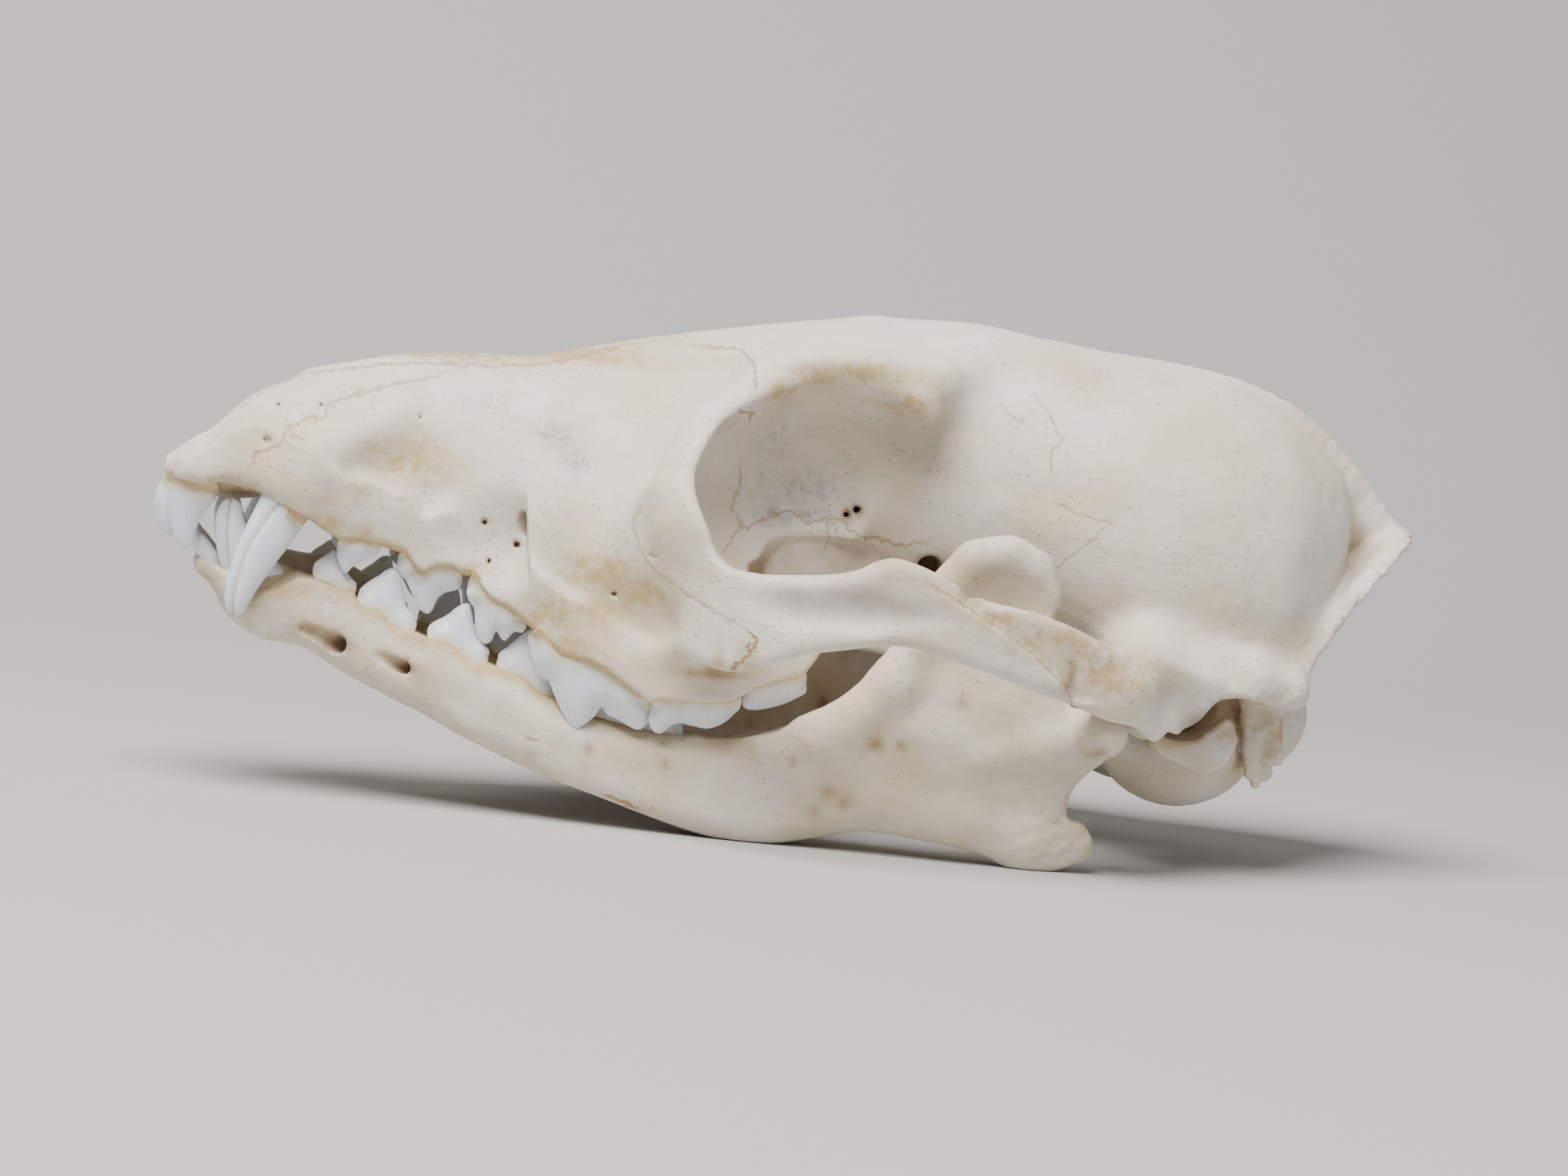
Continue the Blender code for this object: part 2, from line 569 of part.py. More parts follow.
def prism(outline, across, grow):
    """A closed prism with that outline in XZ, made larger or smaller all round by grow, except at its outer end."""
    points = np.array(outline, float)
    after = np.roll(points, -1, axis=0)
    runs = (after - points) / np.linalg.norm(after - points, axis=1)[:, None]
    turning = np.sum(points[:, 0] * after[:, 1] - after[:, 0] * points[:, 1])
    sides = np.stack((runs[:, 1], -runs[:, 0]), axis=1) * np.sign(turning)
    bends = sides + np.roll(sides, 1, axis=0)
    bends /= np.sum(bends * sides, axis=1)[:, None]
    points = points + bends * grow
    inner, outer = across
    inner -= math.copysign(1.0, outer) * grow
    form = bmesh.new()
    ends = []
    for depth in (inner, outer):
        ends.append([form.verts.new(((x - MIDDLE_X) * MM, depth * MM, z * MM)) for x, z in points])
    for near, far in zip(range(len(points)), np.roll(range(len(points)), -1)):
        form.faces.new((ends[0][near], ends[0][far], ends[1][far], ends[1][near]))
    for loop in ends:
        form.faces.new(loop)
    bmesh.ops.triangulate(form, faces=form.faces)
    bmesh.ops.recalc_face_normals(form, faces=form.faces)
    return new_object("prism", form)


def part_within(shape, name, outline, across):
    """A new object with the part of a shape that lies within an outline, short of the seam round it."""
    copy = bpy.data.objects.new(name, shape.data.copy())
    bpy.context.scene.collection.objects.link(copy)
    boolean(copy, "INTERSECT", [prism(outline, across, -SEAM_GAP / 2)])
    return copy


def cut_flat(shape):
    """Wears the underside down to the surface that the skull rests on."""
    form = bmesh.new()
    form.from_mesh(shape.data)
    everything = form.verts[:] + form.edges[:] + form.faces[:]
    cut = bmesh.ops.bisect_plane(form, geom=everything, plane_co=(0, 0, 0), plane_no=(0, 0, 1), clear_inner=True)
    rim = [item for item in cut["geom_cut"] if isinstance(item, bmesh.types.BMEdge)]
    bmesh.ops.triangle_fill(form, edges=rim, use_beauty=True)
    bmesh.ops.recalc_face_normals(form, faces=form.faces)
    form.to_mesh(shape.data)
    form.free()


def bone_material(name, colour):
    """Dry bone: pale, matt and not metallic."""
    finish = bpy.data.materials.new(name)
    finish.use_nodes = True
    shader = finish.node_tree.nodes["Principled BSDF"]
    shader.inputs["Base Color"].default_value = colour
    shader.inputs["Roughness"].default_value = BONE_ROUGHNESS
    shader.inputs["Metallic"].default_value = 0.0
    return finish


def build_skull():
    """The braincase, the snout with the upper teeth, and the two cheek bones."""
    block = sample_block(SKULL_BLOCK)
    half = skull_form(block)
    skull = surface("cranium", half, half, block, SKULL_TRIANGLES)
    cheeks = []
    for name, side in SIDES:
        cheeks.append(part_within(skull, f"jugal_{name}", CHEEK_OUTLINE, (side * CHEEK_DEPTH, side * BEYOND)))
    cuts = [prism(CHEEK_OUTLINE, (side * CHEEK_DEPTH, side * BEYOND), SEAM_GAP / 2) for name, side in SIDES]
    boolean(skull, "DIFFERENCE", cuts)
    muzzle = part_within(skull, "muzzle", FACE_OUTLINE, (-BEYOND, BEYOND))
    boolean(skull, "DIFFERENCE", [prism(FACE_OUTLINE, (-BEYOND, BEYOND), SEAM_GAP / 2)])
    teeth = [tooth for name, side in SIDES for tooth in row_of_teeth(UPPER_TEETH, UPPER_FANG, side)]
    boolean(muzzle, "UNION", teeth)
    return [skull, muzzle] + cheeks


def build_jaw():
    """The two halves of the lower jaw, each with its teeth."""
    block = sample_block(JAW_BLOCK)
    jaw = surface("jaw", jaw_form(block, empty_sockets=True), jaw_form(block), block, JAW_TRIANGLES)
    halves = []
    for (name, side), extra in zip(SIDES, ((), REAR_RIGHT_TEETH)):
        half = part_within(jaw, f"mandible_{name}", JAW_OUTLINE, (0.0, side * BEYOND))
        boolean(half, "UNION", row_of_teeth(LOWER_TEETH + extra, LOWER_FANG, side))
        cut_flat(half)
        halves.append(half)
    bpy.data.objects.remove(jaw)
    return halves


def main():
    for old in list(bpy.data.objects):
        bpy.data.objects.remove(old)
    bone = bone_material("bone", BONE_COLOUR)
    jaw_bone = bone_material("jaw bone", JAW_COLOUR)
    for shapes, finish in ((build_skull(), bone), (build_jaw(), jaw_bone)):
        for shape in shapes:
            form = bmesh.new()
            form.from_mesh(shape.data)
            keep_largest(form)
            bmesh.ops.triangulate(form, faces=form.faces)
            form.to_mesh(shape.data)
            form.free()
            shape.data.materials.clear()
            shape.data.materials.append(finish)
            shape.data.shade_smooth()
            corners = np.array([corner[:] for corner in shape.bound_box]) / MM
            print(shape.name, len(shape.data.polygons), "triangles", corners.min(axis=0), corners.max(axis=0))


main()
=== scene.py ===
"""The looks of the jackal skull: bones with their sutures, openings and stains, and a piece for each tooth.

Sizes are in millimetres, and those of the studio in metres. X is measured from the tips of the front teeth,
Y to the animal's right and Z up from the surface that the skull rests on. placed() puts the middle of the
skull's length at zero. Every bone is a signed distance, negative inside, built up from rounded forms over
the animal's right half. It is sampled finely near its surface, given a mesh, and then roughened, stained,
and darkened as painted shade in its crevices and hollows, by what each vertex lies near.
"""

import math
from concurrent.futures import ThreadPoolExecutor

import bpy
import numpy as np
import openvdb
from mathutils import Matrix, Vector


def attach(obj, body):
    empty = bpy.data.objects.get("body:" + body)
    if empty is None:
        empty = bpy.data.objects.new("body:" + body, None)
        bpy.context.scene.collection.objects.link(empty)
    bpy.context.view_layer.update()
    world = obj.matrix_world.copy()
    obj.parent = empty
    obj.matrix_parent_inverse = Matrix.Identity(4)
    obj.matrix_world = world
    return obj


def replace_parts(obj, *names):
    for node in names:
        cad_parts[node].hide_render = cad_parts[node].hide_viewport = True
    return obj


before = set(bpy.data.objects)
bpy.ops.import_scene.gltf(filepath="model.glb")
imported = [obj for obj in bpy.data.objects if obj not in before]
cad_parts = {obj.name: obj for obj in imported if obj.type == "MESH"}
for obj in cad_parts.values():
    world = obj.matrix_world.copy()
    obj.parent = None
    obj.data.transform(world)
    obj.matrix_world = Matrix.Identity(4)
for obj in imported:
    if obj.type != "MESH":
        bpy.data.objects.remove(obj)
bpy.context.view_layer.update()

# A millimetre in metres, and the x of the middle of the skull's length.
MM = 0.001
MIDDLE_X = 83.69

# Numbers too small to show, which keep a division from being one by zero.
TINY = 1e-6
TINY_SQUARE = 1e-4

# How far apart the samples of the bones and of the teeth lie.
BONE_STEP = 0.4
TOOTH_STEP = 0.16

# A block is split into cells of so many samples each way. Only the cells near a surface are worked out,
# in batches that run side by side. Near is so many cells and so many millimetres more, and FAR stands for
# all the rest.
CELL = 6
CELLS_AT_ONCE = 400
WORKERS = 4
NEAR_CELLS = 0.9
NEAR_MORE = 1.2
FAR = 3.0

# The blocks that hold the right half of the skull and of the jaw, and the sign of y on each side.
SKULL_BLOCK = ((-2.0, 0.0, 3.0), (170.0, 50.0, 72.0))
JAW_BLOCK = ((3.0, -1.2, -4.0), (127.0, 44.0, 46.0))
SIDES = (("left", -1), ("right", 1))

# The most triangles that each bone keeps.
MOST_TRIANGLES = {
    "cranium": 190000,
    "muzzle": 185000,
    "jugal": 32000,
    "mandible": 100000,
}

# How far two bones of the skull reach into each other at a suture, and how round their hidden edges are.
SUTURE_LAP = 0.4
SUTURE_EDGE = 0.1

# The jaw's hinge: its two ends, its radius at each, and the gap round it in the skull's socket.
HINGE_INNER = (119.6, 24.5, 17.8)
HINGE_OUTER = (119.8, 36.2, 18.4)
HINGE_RADII = (2.3, 2.9)
HINGE_CLEARANCE = 0.9


# Forms as signed distances

def smooth_through(rows, x):
    """Smooth values at x through rows of (x, value, value ...), as one array for each value."""
    table = np.array(rows, np.float32)
    knots = table[:, 0]
    x = np.clip(x, knots[0], knots[-1])
    span = np.clip(np.searchsorted(knots, x) - 1, 0, len(knots) - 2)
    width = knots[span + 1] - knots[span]
    t = (x - knots[span]) / width
    found = []
    for values in table[:, 1:].T:
        slopes = np.gradient(values, knots).astype(np.float32)
        found.append(
            (2 * t**3 - 3 * t**2 + 1) * values[span]
            + (t**3 - 2 * t**2 + t) * width * slopes[span]
            + (3 * t**2 - 2 * t**3) * values[span + 1]
            + (t**3 - t**2) * width * slopes[span + 1]
        )
    return found


def join(first, second, radius):
    """Both forms, with a fillet of about this radius between them."""
    near = np.maximum(radius - np.abs(first - second), 0) / radius
    return np.minimum(first, second) - near * near * radius / 4


def carve(body, hollow, radius):
    """The body without the hollow, its new edges rounded to about this radius."""
    return -join(-body, hollow, radius)


def overlap_of(first, second, radius):
    """The part that both forms hold, its edges rounded."""
    return -join(-first, -second, radius)


# How late a lofted body's width changes on the way up: at 1 it would change evenly.
WIDTH_BOW = 1.6


def loft(block, rows, powers=(2.3, 2.3), end=2.0):
    """A body lofted along X from rows of (x, underside, top, half width low down, half width high up).

    The two powers make its section squarer below and above, and end rounds its two ends.
    """
    x, y, z = block
    low, high, half_low, half_high = smooth_through(rows, x)
    rise = (z - low) / (high - low)
    half = half_low + (half_high - half_low) * np.clip(rise, 0, 1) ** WIDTH_BOW
    power = np.where(rise < 0.5, np.float32(powers[0]), np.float32(powers[1]))
    reach = ((np.abs(y) / half) ** power + np.abs(2 * rise - 1) ** power) ** (1 / power)
    body = (reach - 1) * np.minimum(half, (high - low) / 2)
    return overlap_of(body, np.maximum(rows[0][0] - x, x - rows[-1][0]), end)


def ellipsoid(block, centre, radii, pitch=0.0):
    """An ellipsoid, its front end lifted by pitch degrees."""
    x, y, z = (p - c for p, c in zip(block, centre))
    c, s = math.cos(math.radians(pitch)), math.sin(math.radians(pitch))
    x, z = x * c - z * s, x * s + z * c
    reach = np.sqrt((x / radii[0]) ** 2 + (y / radii[1]) ** 2 + (z / radii[2]) ** 2)
    slope = np.sqrt((x / radii[0] ** 2) ** 2 + (y / radii[1] ** 2) ** 2 + (z / radii[2] ** 2) ** 2)
    return reach * (reach - 1) / np.maximum(slope, TINY)


def bar(block, points, radii, blend=1.0):
    """A round bar through points, its radius changing from one point to the next."""
    x, y, z = block
    whole = None
    for start, finish, r_start, r_finish in zip(points, points[1:], radii, radii[1:]):
        run = [b - a for a, b in zip(start, finish)]
        squared = sum(d * d for d in run)
        along = ((x - start[0]) * run[0] + (y - start[1]) * run[1] + (z - start[2]) * run[2]) / squared
        t = np.clip(along, 0, 1)
        away = [p - a - d * t for p, a, d in zip(block, start, run)]
        piece = np.sqrt(away[0] ** 2 + away[1] ** 2 + away[2] ** 2) - (r_start + (r_finish - r_start) * t)
        whole = piece if whole is None else join(whole, piece, blend)
    return whole


def smooth_curve(a, b, c, d, steps):
    """Points on the smooth curve from each b up to each c, whose neighbours are a and d."""
    found = []
    for t in np.arange(steps) / steps:
        found.append(0.5 * (2 * b + (c - a) * t + (2 * a - 5 * b + 4 * c - d) * t**2
                            + (3 * b - a - 3 * c + d) * t**3))
    return np.stack(found, axis=1).reshape(-1, b.shape[1])


def curved(line, steps=3):
    """A smooth open curve through a line's points."""
    points = np.array(line, float)
    points = np.concatenate((2 * points[:1] - points[1:2], points, 2 * points[-1:] - points[-2:-1]))
    curve = smooth_curve(points[:-3], points[1:-2], points[2:-1], points[3:], steps)
    return np.concatenate((curve, points[-2:-1]))


def rounded_outline(corners, steps=5):
    """A smooth closed curve through the corners."""
    points = np.array(corners, float)
    before, after, second = (np.roll(points, -n, axis=0) for n in (-1, 1, 2))
    return smooth_curve(before, points, after, second, steps)


def curved_bar(block, rows, steps=3):
    """A round bar along a smooth curve through rows of (x, y, z, radius)."""
    table = curved(rows, steps).tolist()
    return bar(block, [row[:3] for row in table], [row[3] for row in table], blend=0.3)


def outline_distance(x, z, outline):
    """Signed distance in a plane from a closed outline."""
    nearest = None
    inside = False
    for (x0, z0), (x1, z1) in zip(outline, np.roll(outline, -1, axis=0)):
        x0, z0, x1, z1 = float(x0), float(z0), float(x1), float(z1)
        run_x, run_z = x1 - x0, z1 - z0
        t = np.clip(((x - x0) * run_x + (z - z0) * run_z) / (run_x**2 + run_z**2), 0, 1)
        away = (x - x0 - run_x * t) ** 2 + (z - z0 - run_z * t) ** 2
        nearest = away if nearest is None else np.minimum(nearest, away)
        if z0 != z1:
            inside = inside ^ (((z0 > z) != (z1 > z)) & (x < x0 + run_x * (z - z0) / run_z))
    return np.sqrt(nearest) * np.where(inside, np.float32(-1), np.float32(1))


def plate(block, corners, middle, half, edge):
    """A plate with that outline in XZ. Its middle Y and half thickness may change along X."""
    x, y, z = block
    outline = outline_distance(x, z, rounded_outline(corners))
    return overlap_of(outline, np.abs(y - middle) - half, edge)


def pit(form, block, x_at, z_at, radius, depth, side_from):
    """The form with a round hole sunk along Y into its outer side, where y is more than side_from."""
    x, y, z = block
    bore = np.sqrt((x - x_at) ** 2 + (z - z_at) ** 2) - radius
    hole = np.maximum(np.maximum(bore, -form - depth), side_from - y)
    return carve(form, hole, 0.3)


# The skull's forms

def snout(block):
    """The front of the face, from the front teeth back under the eyes."""
    return loft(block, (
        (2.8, 39.9, 40.4, 5.4, 4.8),
        (6.0, 39.4, 44.3, 9.0, 5.4),
        (12.0, 39.3, 51.7, 11.4, 6.0),
        (17.0, 38.8, 53.6, 12.8, 6.4),
        (23.0, 35.6, 55.4, 12.3, 6.4),
        (32.0, 33.4, 57.4, 12.6, 6.4),
        (41.0, 30.8, 58.2, 14.6, 6.8),
        (49.0, 25.6, 58.6, 18.6, 7.8),
        (57.0, 21.6, 60.7, 22.2, 9.6),
        (65.0, 19.0, 62.4, 24.4, 12.0),
        (76.0, 19.2, 62.9, 24.0, 13.6),
        (84.0, 24.4, 63.4, 20.0, 13.0),
        (90.0, 30.0, 63.6, 12.0, 11.0),
    ), powers=(4.5, 2.2))


def front_palate(block):
    """The roof of the mouth between the corner front teeth and the fangs, which hangs below its edges."""
    return ellipsoid(block, (10.5, 0.0, 41.0), (8.2, 8.4, 4.2), pitch=-3.0)


def braincase(block):
    """The roof between the eyes, the pinched waist behind them, and the brain's round case."""
    return loft(block, (
        (70.0, 36.0, 59.0, 8.0, 12.0),
        (84.0, 33.0, 64.4, 8.5, 14.4),
        (92.0, 31.5, 67.0, 10.6, 15.0),
        (98.0, 30.4, 67.4, 13.2, 14.2),
        (104.0, 28.8, 67.6, 16.6, 15.8),
        (110.0, 26.8, 67.1, 20.2, 18.0),
        (116.0, 24.5, 65.9, 23.3, 20.2),
        (124.0, 21.5, 64.8, 26.0, 22.0),
        (132.0, 19.5, 64.2, 26.4, 22.5),
        (140.0, 18.6, 62.6, 25.6, 21.4),
        (146.0, 18.8, 60.0, 23.4, 19.2),
        (151.0, 22.5, 56.6, 17.4, 16.0),
        (156.5, 38.0, 51.4, 9.0, 9.0),
    ), end=3.0)


def brow(block):
    """The flat shelf over the eyes, its rim with a spur behind each eye, and the ridge on to the crown."""
    shelf = ellipsoid(block, (86.0, 0.0, 59.8), (15.0, 19.0, 4.0))
    rim = curved_bar(block, (
        (77.5, 15.6, 58.0, 1.8), (80.8, 16.8, 60.2, 2.0), (84.4, 17.6, 61.2, 2.0),
        (88.0, 18.2, 60.8, 2.0), (92.1, 19.0, 59.4, 1.9), (95.2, 19.8, 57.8, 1.6),
        (96.6, 20.2, 56.4, 1.0),
    ), steps=2)
    ridge = curved_bar(block, (
        (95.6, 17.6, 58.0, 1.8), (99.0, 14.0, 60.0, 2.4), (104.0, 9.6, 61.6, 2.2),
    ), steps=2)
    return join(join(shelf, rim, 4.0), ridge, 4.0)


def cheek_arch(block):
    """The cheek's arch: its outline from the side, bowed out round the jaw muscle.

    Behind the seam between its two bones the rear one stands a little further in. A shallow groove runs
    along the front one below the eye.
    """
    x, _, z = block
    middle, half = smooth_through((
        (54.0, 15.5, 3.6),
        (62.0, 21.8, 3.6),
        (66.0, 26.6, 3.4),
        (71.0, 32.4, 3.0),
        (78.0, 38.4, 2.3),
        (86.0, 41.8, 2.1),
        (96.0, 43.2, 2.1),
        (106.0, 42.8, 2.0),
        (114.0, 40.8, 2.2),
        (122.0, 36.0, 3.2),
        (129.0, 30.0, 4.6),
        (137.0, 24.5, 4.6),
    ), x)
    seam_x, seam_z = np.array(ARCH_SEAM).T
    behind = np.clip((z - np.interp(x, seam_x, seam_z).astype(np.float32)) / 0.8 + 0.5, 0, 1)
    behind = behind * np.clip((x - 93.0) / 6.0, 0, 1) * np.clip((118.0 - x) / 4.0, 0, 1) * ARCH_STEP / 2
    form = plate(block, (
        (60.0, 41.4), (64.0, 42.6), (66.8, 40.0), (70.6, 35.6), (76.1, 35.0), (84.6, 36.2),
        (89.4, 38.4), (93.5, 37.9), (99.1, 35.6), (102.7, 34.2), (110.3, 32.9), (122.0, 28.6),
        (134.0, 26.0), (140.0, 22.5), (134.0, 20.5), (127.4, 20.5), (120.0, 20.6), (107.3, 24.4),
        (93.0, 27.9), (82.4, 26.3), (77.8, 24.6), (72.0, 22.6), (64.0, 25.0), (56.0, 32.0),
    ), middle - behind, half - behind, edge=1.8)
    groove = bar(block, ((70.0, 37.4, 31.8), (78.0, 42.3, 31.0), (87.0, 45.2, 31.6), (97.0, 46.6, 32.0)),
                 (0.8, 1.9, 1.9, 0.6), blend=2.0)
    return carve(form, groove, 1.6)


def jaw_socket(block):
    """The root of the arch over the jaw's hinge, with the lip that stops the jaw from slipping back."""
    root = bar(block, ((139.0, 20.0, 25.0), (128.0, 21.5, 26.5), (122.5, 38.0, 24.6)), (5.0, 5.4, 3.4),
               blend=3.0)
    lip = bar(block, ((127.6, 25.0, 19.4), (127.2, 35.0, 19.6)), (2.2, 1.8))
    return join(root, lip, 3.5)


def ear_shelf(block):
    """The ridge that runs back from the cheek's arch and hangs over the ear."""
    return bar(block, ((124.0, 29.0, 23.6), (130.0, 25.6, 22.0), (135.0, 24.6, 25.4), (141.0, 24.6, 25.4),
                       (146.2, 23.4, 24.4)), (3.4, 3.2, 2.2, 2.2, 2.2), blend=2.0)


def under_ear_shelf(block):
    """The space under that ridge, whose upper edge is the ridge's crisp lower edge."""
    return plate(block, (
        (127.0, 18.4), (130.0, 18.7), (132.7, 20.1), (134.2, 22.1), (136.0, 23.4), (139.4, 23.5),
        (143.0, 22.7), (145.9, 22.0), (149.5, 21.0), (152.0, 8.0), (125.0, 4.0),
    ), 29.0, 11.0, edge=0.6)


def ear_region(block):
    """The swollen bulb under the ear, the lip of the ear's opening, and the spongy spur behind it."""
    bulb = ellipsoid(block, (134.4, 13.8, 16.2), (10.2, 7.6, 8.5), pitch=-6.0)
    lip = plate(block, (
        (128.6, 16.6), (130.0, 17.6), (131.5, 17.3), (133.7, 17.2), (135.1, 17.7), (136.4, 19.6),
        (139.0, 20.4), (139.9, 17.6), (139.3, 15.4), (137.9, 13.7), (135.6, 13.1), (133.5, 13.7),
        (130.1, 15.1),
    ), 22.4, 1.3, edge=0.6)
    spur = ellipsoid(block, (144.2, 18.6, 18.6), (2.2, 2.2, 4.6), pitch=-8.0)
    form = join(join(bulb, lip, 0.7), spur, 1.2)
    for top_x, foot_x, foot_z, radius in EAR_COLUMNS:
        column = bar(block, ((top_x, 19.6, 22.6), (foot_x, 20.4, foot_z)), (radius, radius * 0.8))
        form = join(form, column, 0.5)
    return form


def crest_face(y, z):
    """The x of the back of the head's outer edge."""
    return 150.4 + 0.38 * (z - 22.0) + 0.014 * (z - 22.0) ** 2 - 0.008 * y**2


def back_of_head(block):
    """The flat back of the head: a flange round the braincase, a peak on top and a low keel before it."""
    x, y, z = block
    right = ((0.0, 45.0), (5.0, 44.4), (10.0, 41.6), (14.5, 37.4), (19.0, 32.0), (21.6, 25.0),
             (20.0, 18.0), (9.0, 15.0))
    left = tuple((-across, up) for across, up in reversed(right[1:]))
    edge = outline_distance(y, z, rounded_outline(right + left))
    hollow = 3.2 * np.clip(-edge / 8.0, 0, 1)
    face = crest_face(y, z) - hollow
    flange = overlap_of(edge, np.abs(x - face + 1.6) - 1.6, 0.8)
    core = ellipsoid(block, (147.6, 0.0, 40.0), (7.0, 12.0, 11.0), pitch=-20.0)
    keel = curved_bar(block, (
        (116.0, 0.0, 63.9, 1.0), (134.0, 0.0, 62.6, 1.2), (145.6, 0.0, 60.3, 1.4), (152.6, 0.0, 56.2, 1.6),
        (158.6, 0.0, 50.1, 1.8), (163.8, 0.0, 44.3, 1.6),
    ), steps=4)
    ramp = bar(block, ((147.0, 0.0, 48.6), (160.0, 0.0, 44.8)), (6.4, 2.4))
    return join(join(flange, join(core, ramp, 4.0), 3.0), keel, 2.0)


def throat_wings(block):
    """The two thin walls that hang behind the palate, one each side of the rear air passage."""
    return plate(block, (
        (80.0, 38.0), (81.0, 27.5), (90.0, 24.6), (98.0, 23.4), (105.0, 20.0), (108.2, 20.8),
        (107.0, 27.0), (101.0, 36.0), (90.0, 40.0),
    ), 7.6, 1.2, edge=0.8)


def mouth_roof(block):
    """The hollow between the upper tooth rows."""
    return loft(block, (
        (15.0, 30.0, 37.0, 4.0, 4.0),
        (20.0, 30.0, 38.4, 7.4, 7.4),
        (32.0, 25.0, 36.2, 8.8, 8.8),
        (48.0, 15.0, 30.6, 13.4, 13.4),
        (60.0, 10.0, 26.8, 16.8, 16.8),
        (74.0, 10.0, 25.2, 16.2, 16.2),
        (90.0, 14.0, 30.0, 14.0, 14.0),
    ), powers=(3.0, 3.0))


def eye_socket(form, block):
    """The skull with the brow, the front rim of the eye socket, the socket and the hollow in its floor."""
    front_rim = curved_bar(block, (
        (66.4, 27.0, 40.0, 4.0), (66.4, 24.0, 45.6, 4.0), (69.6, 20.0, 51.4, 3.6), (75.6, 16.5, 56.4, 2.6),
    ))
    form = join(form, brow(block), 5.0)
    form = join(form, front_rim, 5.0)
    form = carve(form, ellipsoid(block, (83.5, 30.0, 43.2), (17.2, 21.0, 17.0)), 1.0)
    floor = plate(block, (
        (76.0, 34.2), (77.6, 35.3), (78.9, 37.3), (81.7, 38.5), (87.5, 38.8), (93.0, 37.8),
        (98.0, 34.0), (97.0, 29.0), (86.0, 28.5), (77.5, 31.0),
    ), 17.5, 9.0, edge=1.2)
    return carve(form, floor, 0.5)


def nose_opening(form, block):
    """The skull with the opening of its nose, and the thin wall and scrolls of bone inside it."""
    x, y, z = block
    form = carve(form, ellipsoid(block, (9.0, 0.0, 51.0), (9.6, 4.8, 8.0)), 0.8)
    form = carve(form, bar(block, ((8.0, 0.0, 47.4), (26.0, 0.0, 47.6)), (4.4, 4.0)), 0.8)
    scroll = np.abs(np.sqrt((y - 2.6) ** 2 + (z - 47.6) ** 2) - 1.3) - 0.28
    scroll = np.minimum(scroll, np.abs(np.sqrt((y - 2.2) ** 2 + (z - 44.6) ** 2) - 1.0) - 0.28)
    return join(form, np.maximum(scroll, np.maximum(13.5 + 0.4 * np.abs(z - 47.0) - x, x - 27.0)), 0.4)


def cheek_canal(form, block):
    """The skull with the sunken place before the cheek's plate, whose edge hides the nerve's canal."""
    x, y, z = block
    plate_edge = 47.0 + 0.11 * (40.0 - z)
    form = join(form, ellipsoid(block, (53.5, 13.6, 37.0), (7.0, 4.6, 7.0)), 3.0)
    sunken = carve(form, ellipsoid(block, (43.4, 17.6, 36.0), (7.5, 4.6, 6.4), pitch=-12.0), 2.5)
    form = join(sunken, overlap_of(form, plate_edge - x, 0.3), 0.3)
    squeezed = (x, y, 37.5 + (z - 37.5) / 2.4)
    canal = bar(squeezed, ((46.8, 13.6, 37.5), (49.0, 13.0, 37.5), (58.0, 15.0, 37.5)), (0.6, 0.9, 0.9),
                blend=0.6)
    form = carve(form, canal, 0.4)
    return carve(form, ellipsoid(block, (58.0, 27.8, 28.6), (8.0, 4.4, 3.8), pitch=14.0), 4.0)


def ear_and_hinge(form, block):
    """The skull with the ear's opening, the jaw's socket and the hole for the spine."""
    form = carve(form, ellipsoid(block, (159.0, 0.0, 25.0), (16.0, 7.6, 6.2)), 1.2)
    form = carve(form, ellipsoid(block, (134.4, 22.4, 20.0), (4.6, 6.4, 1.9), pitch=-28.0), 0.4)
    form = carve(form, bar(block, ((133.6, 24.0, 19.6), (134.2, 14.0, 19.6)), (1.9, 1.6)), 0.4)
    socket = bar(block, (HINGE_INNER, HINGE_OUTER), [r + HINGE_CLEARANCE for r in HINGE_RADII])
    return carve(form, socket, 0.8)


# Small holes for nerves and vessels in the skull's side: (x, z, radius, depth, least y where it starts).
SKULL_PITS = (
    (15.1, 49.4, 0.32, 0.7, 4.0),
    (20.4, 49.8, 0.3, 0.6, 4.0),
    (13.8, 45.2, 0.42, 0.6, 4.0),
    (32.9, 49.5, 0.25, 0.6, 4.0),
    (42.1, 37.1, 0.38, 1.2, 8.0),
    (46.4, 34.6, 0.38, 1.2, 8.0),
    (43.0, 32.2, 0.25, 0.8, 8.0),
    (58.5, 30.0, 0.35, 0.8, 10.0),
    (62.6, 35.5, 0.45, 0.5, 10.0),
    (88.9, 41.7, 0.5, 2.5, 3.0),
    (90.1, 42.5, 0.55, 2.5, 3.0),
    (100.2, 36.0, 1.5, 4.0, 6.0),
)

# The seam between the arch's two bones, as (x, z), and how far in the rear one stands.
ARCH_SEAM = (
    (93.7, 36.0), (96.8, 34.9), (100.9, 32.7), (105.1, 30.5), (109.3, 27.6), (111.4, 25.7), (113.2, 24.3),
    (114.1, 22.7),
)
ARCH_STEP = 1.1

# The columns of spongy bone behind the ear: (x at the top, x at the foot, z at the foot, radius).
EAR_COLUMNS = (
    (141.6, 142.6, 13.2, 0.8),
    (143.2, 143.6, 11.9, 0.75),
    (144.6, 145.0, 13.0, 0.7),
    (145.8, 146.3, 15.2, 0.8),
)


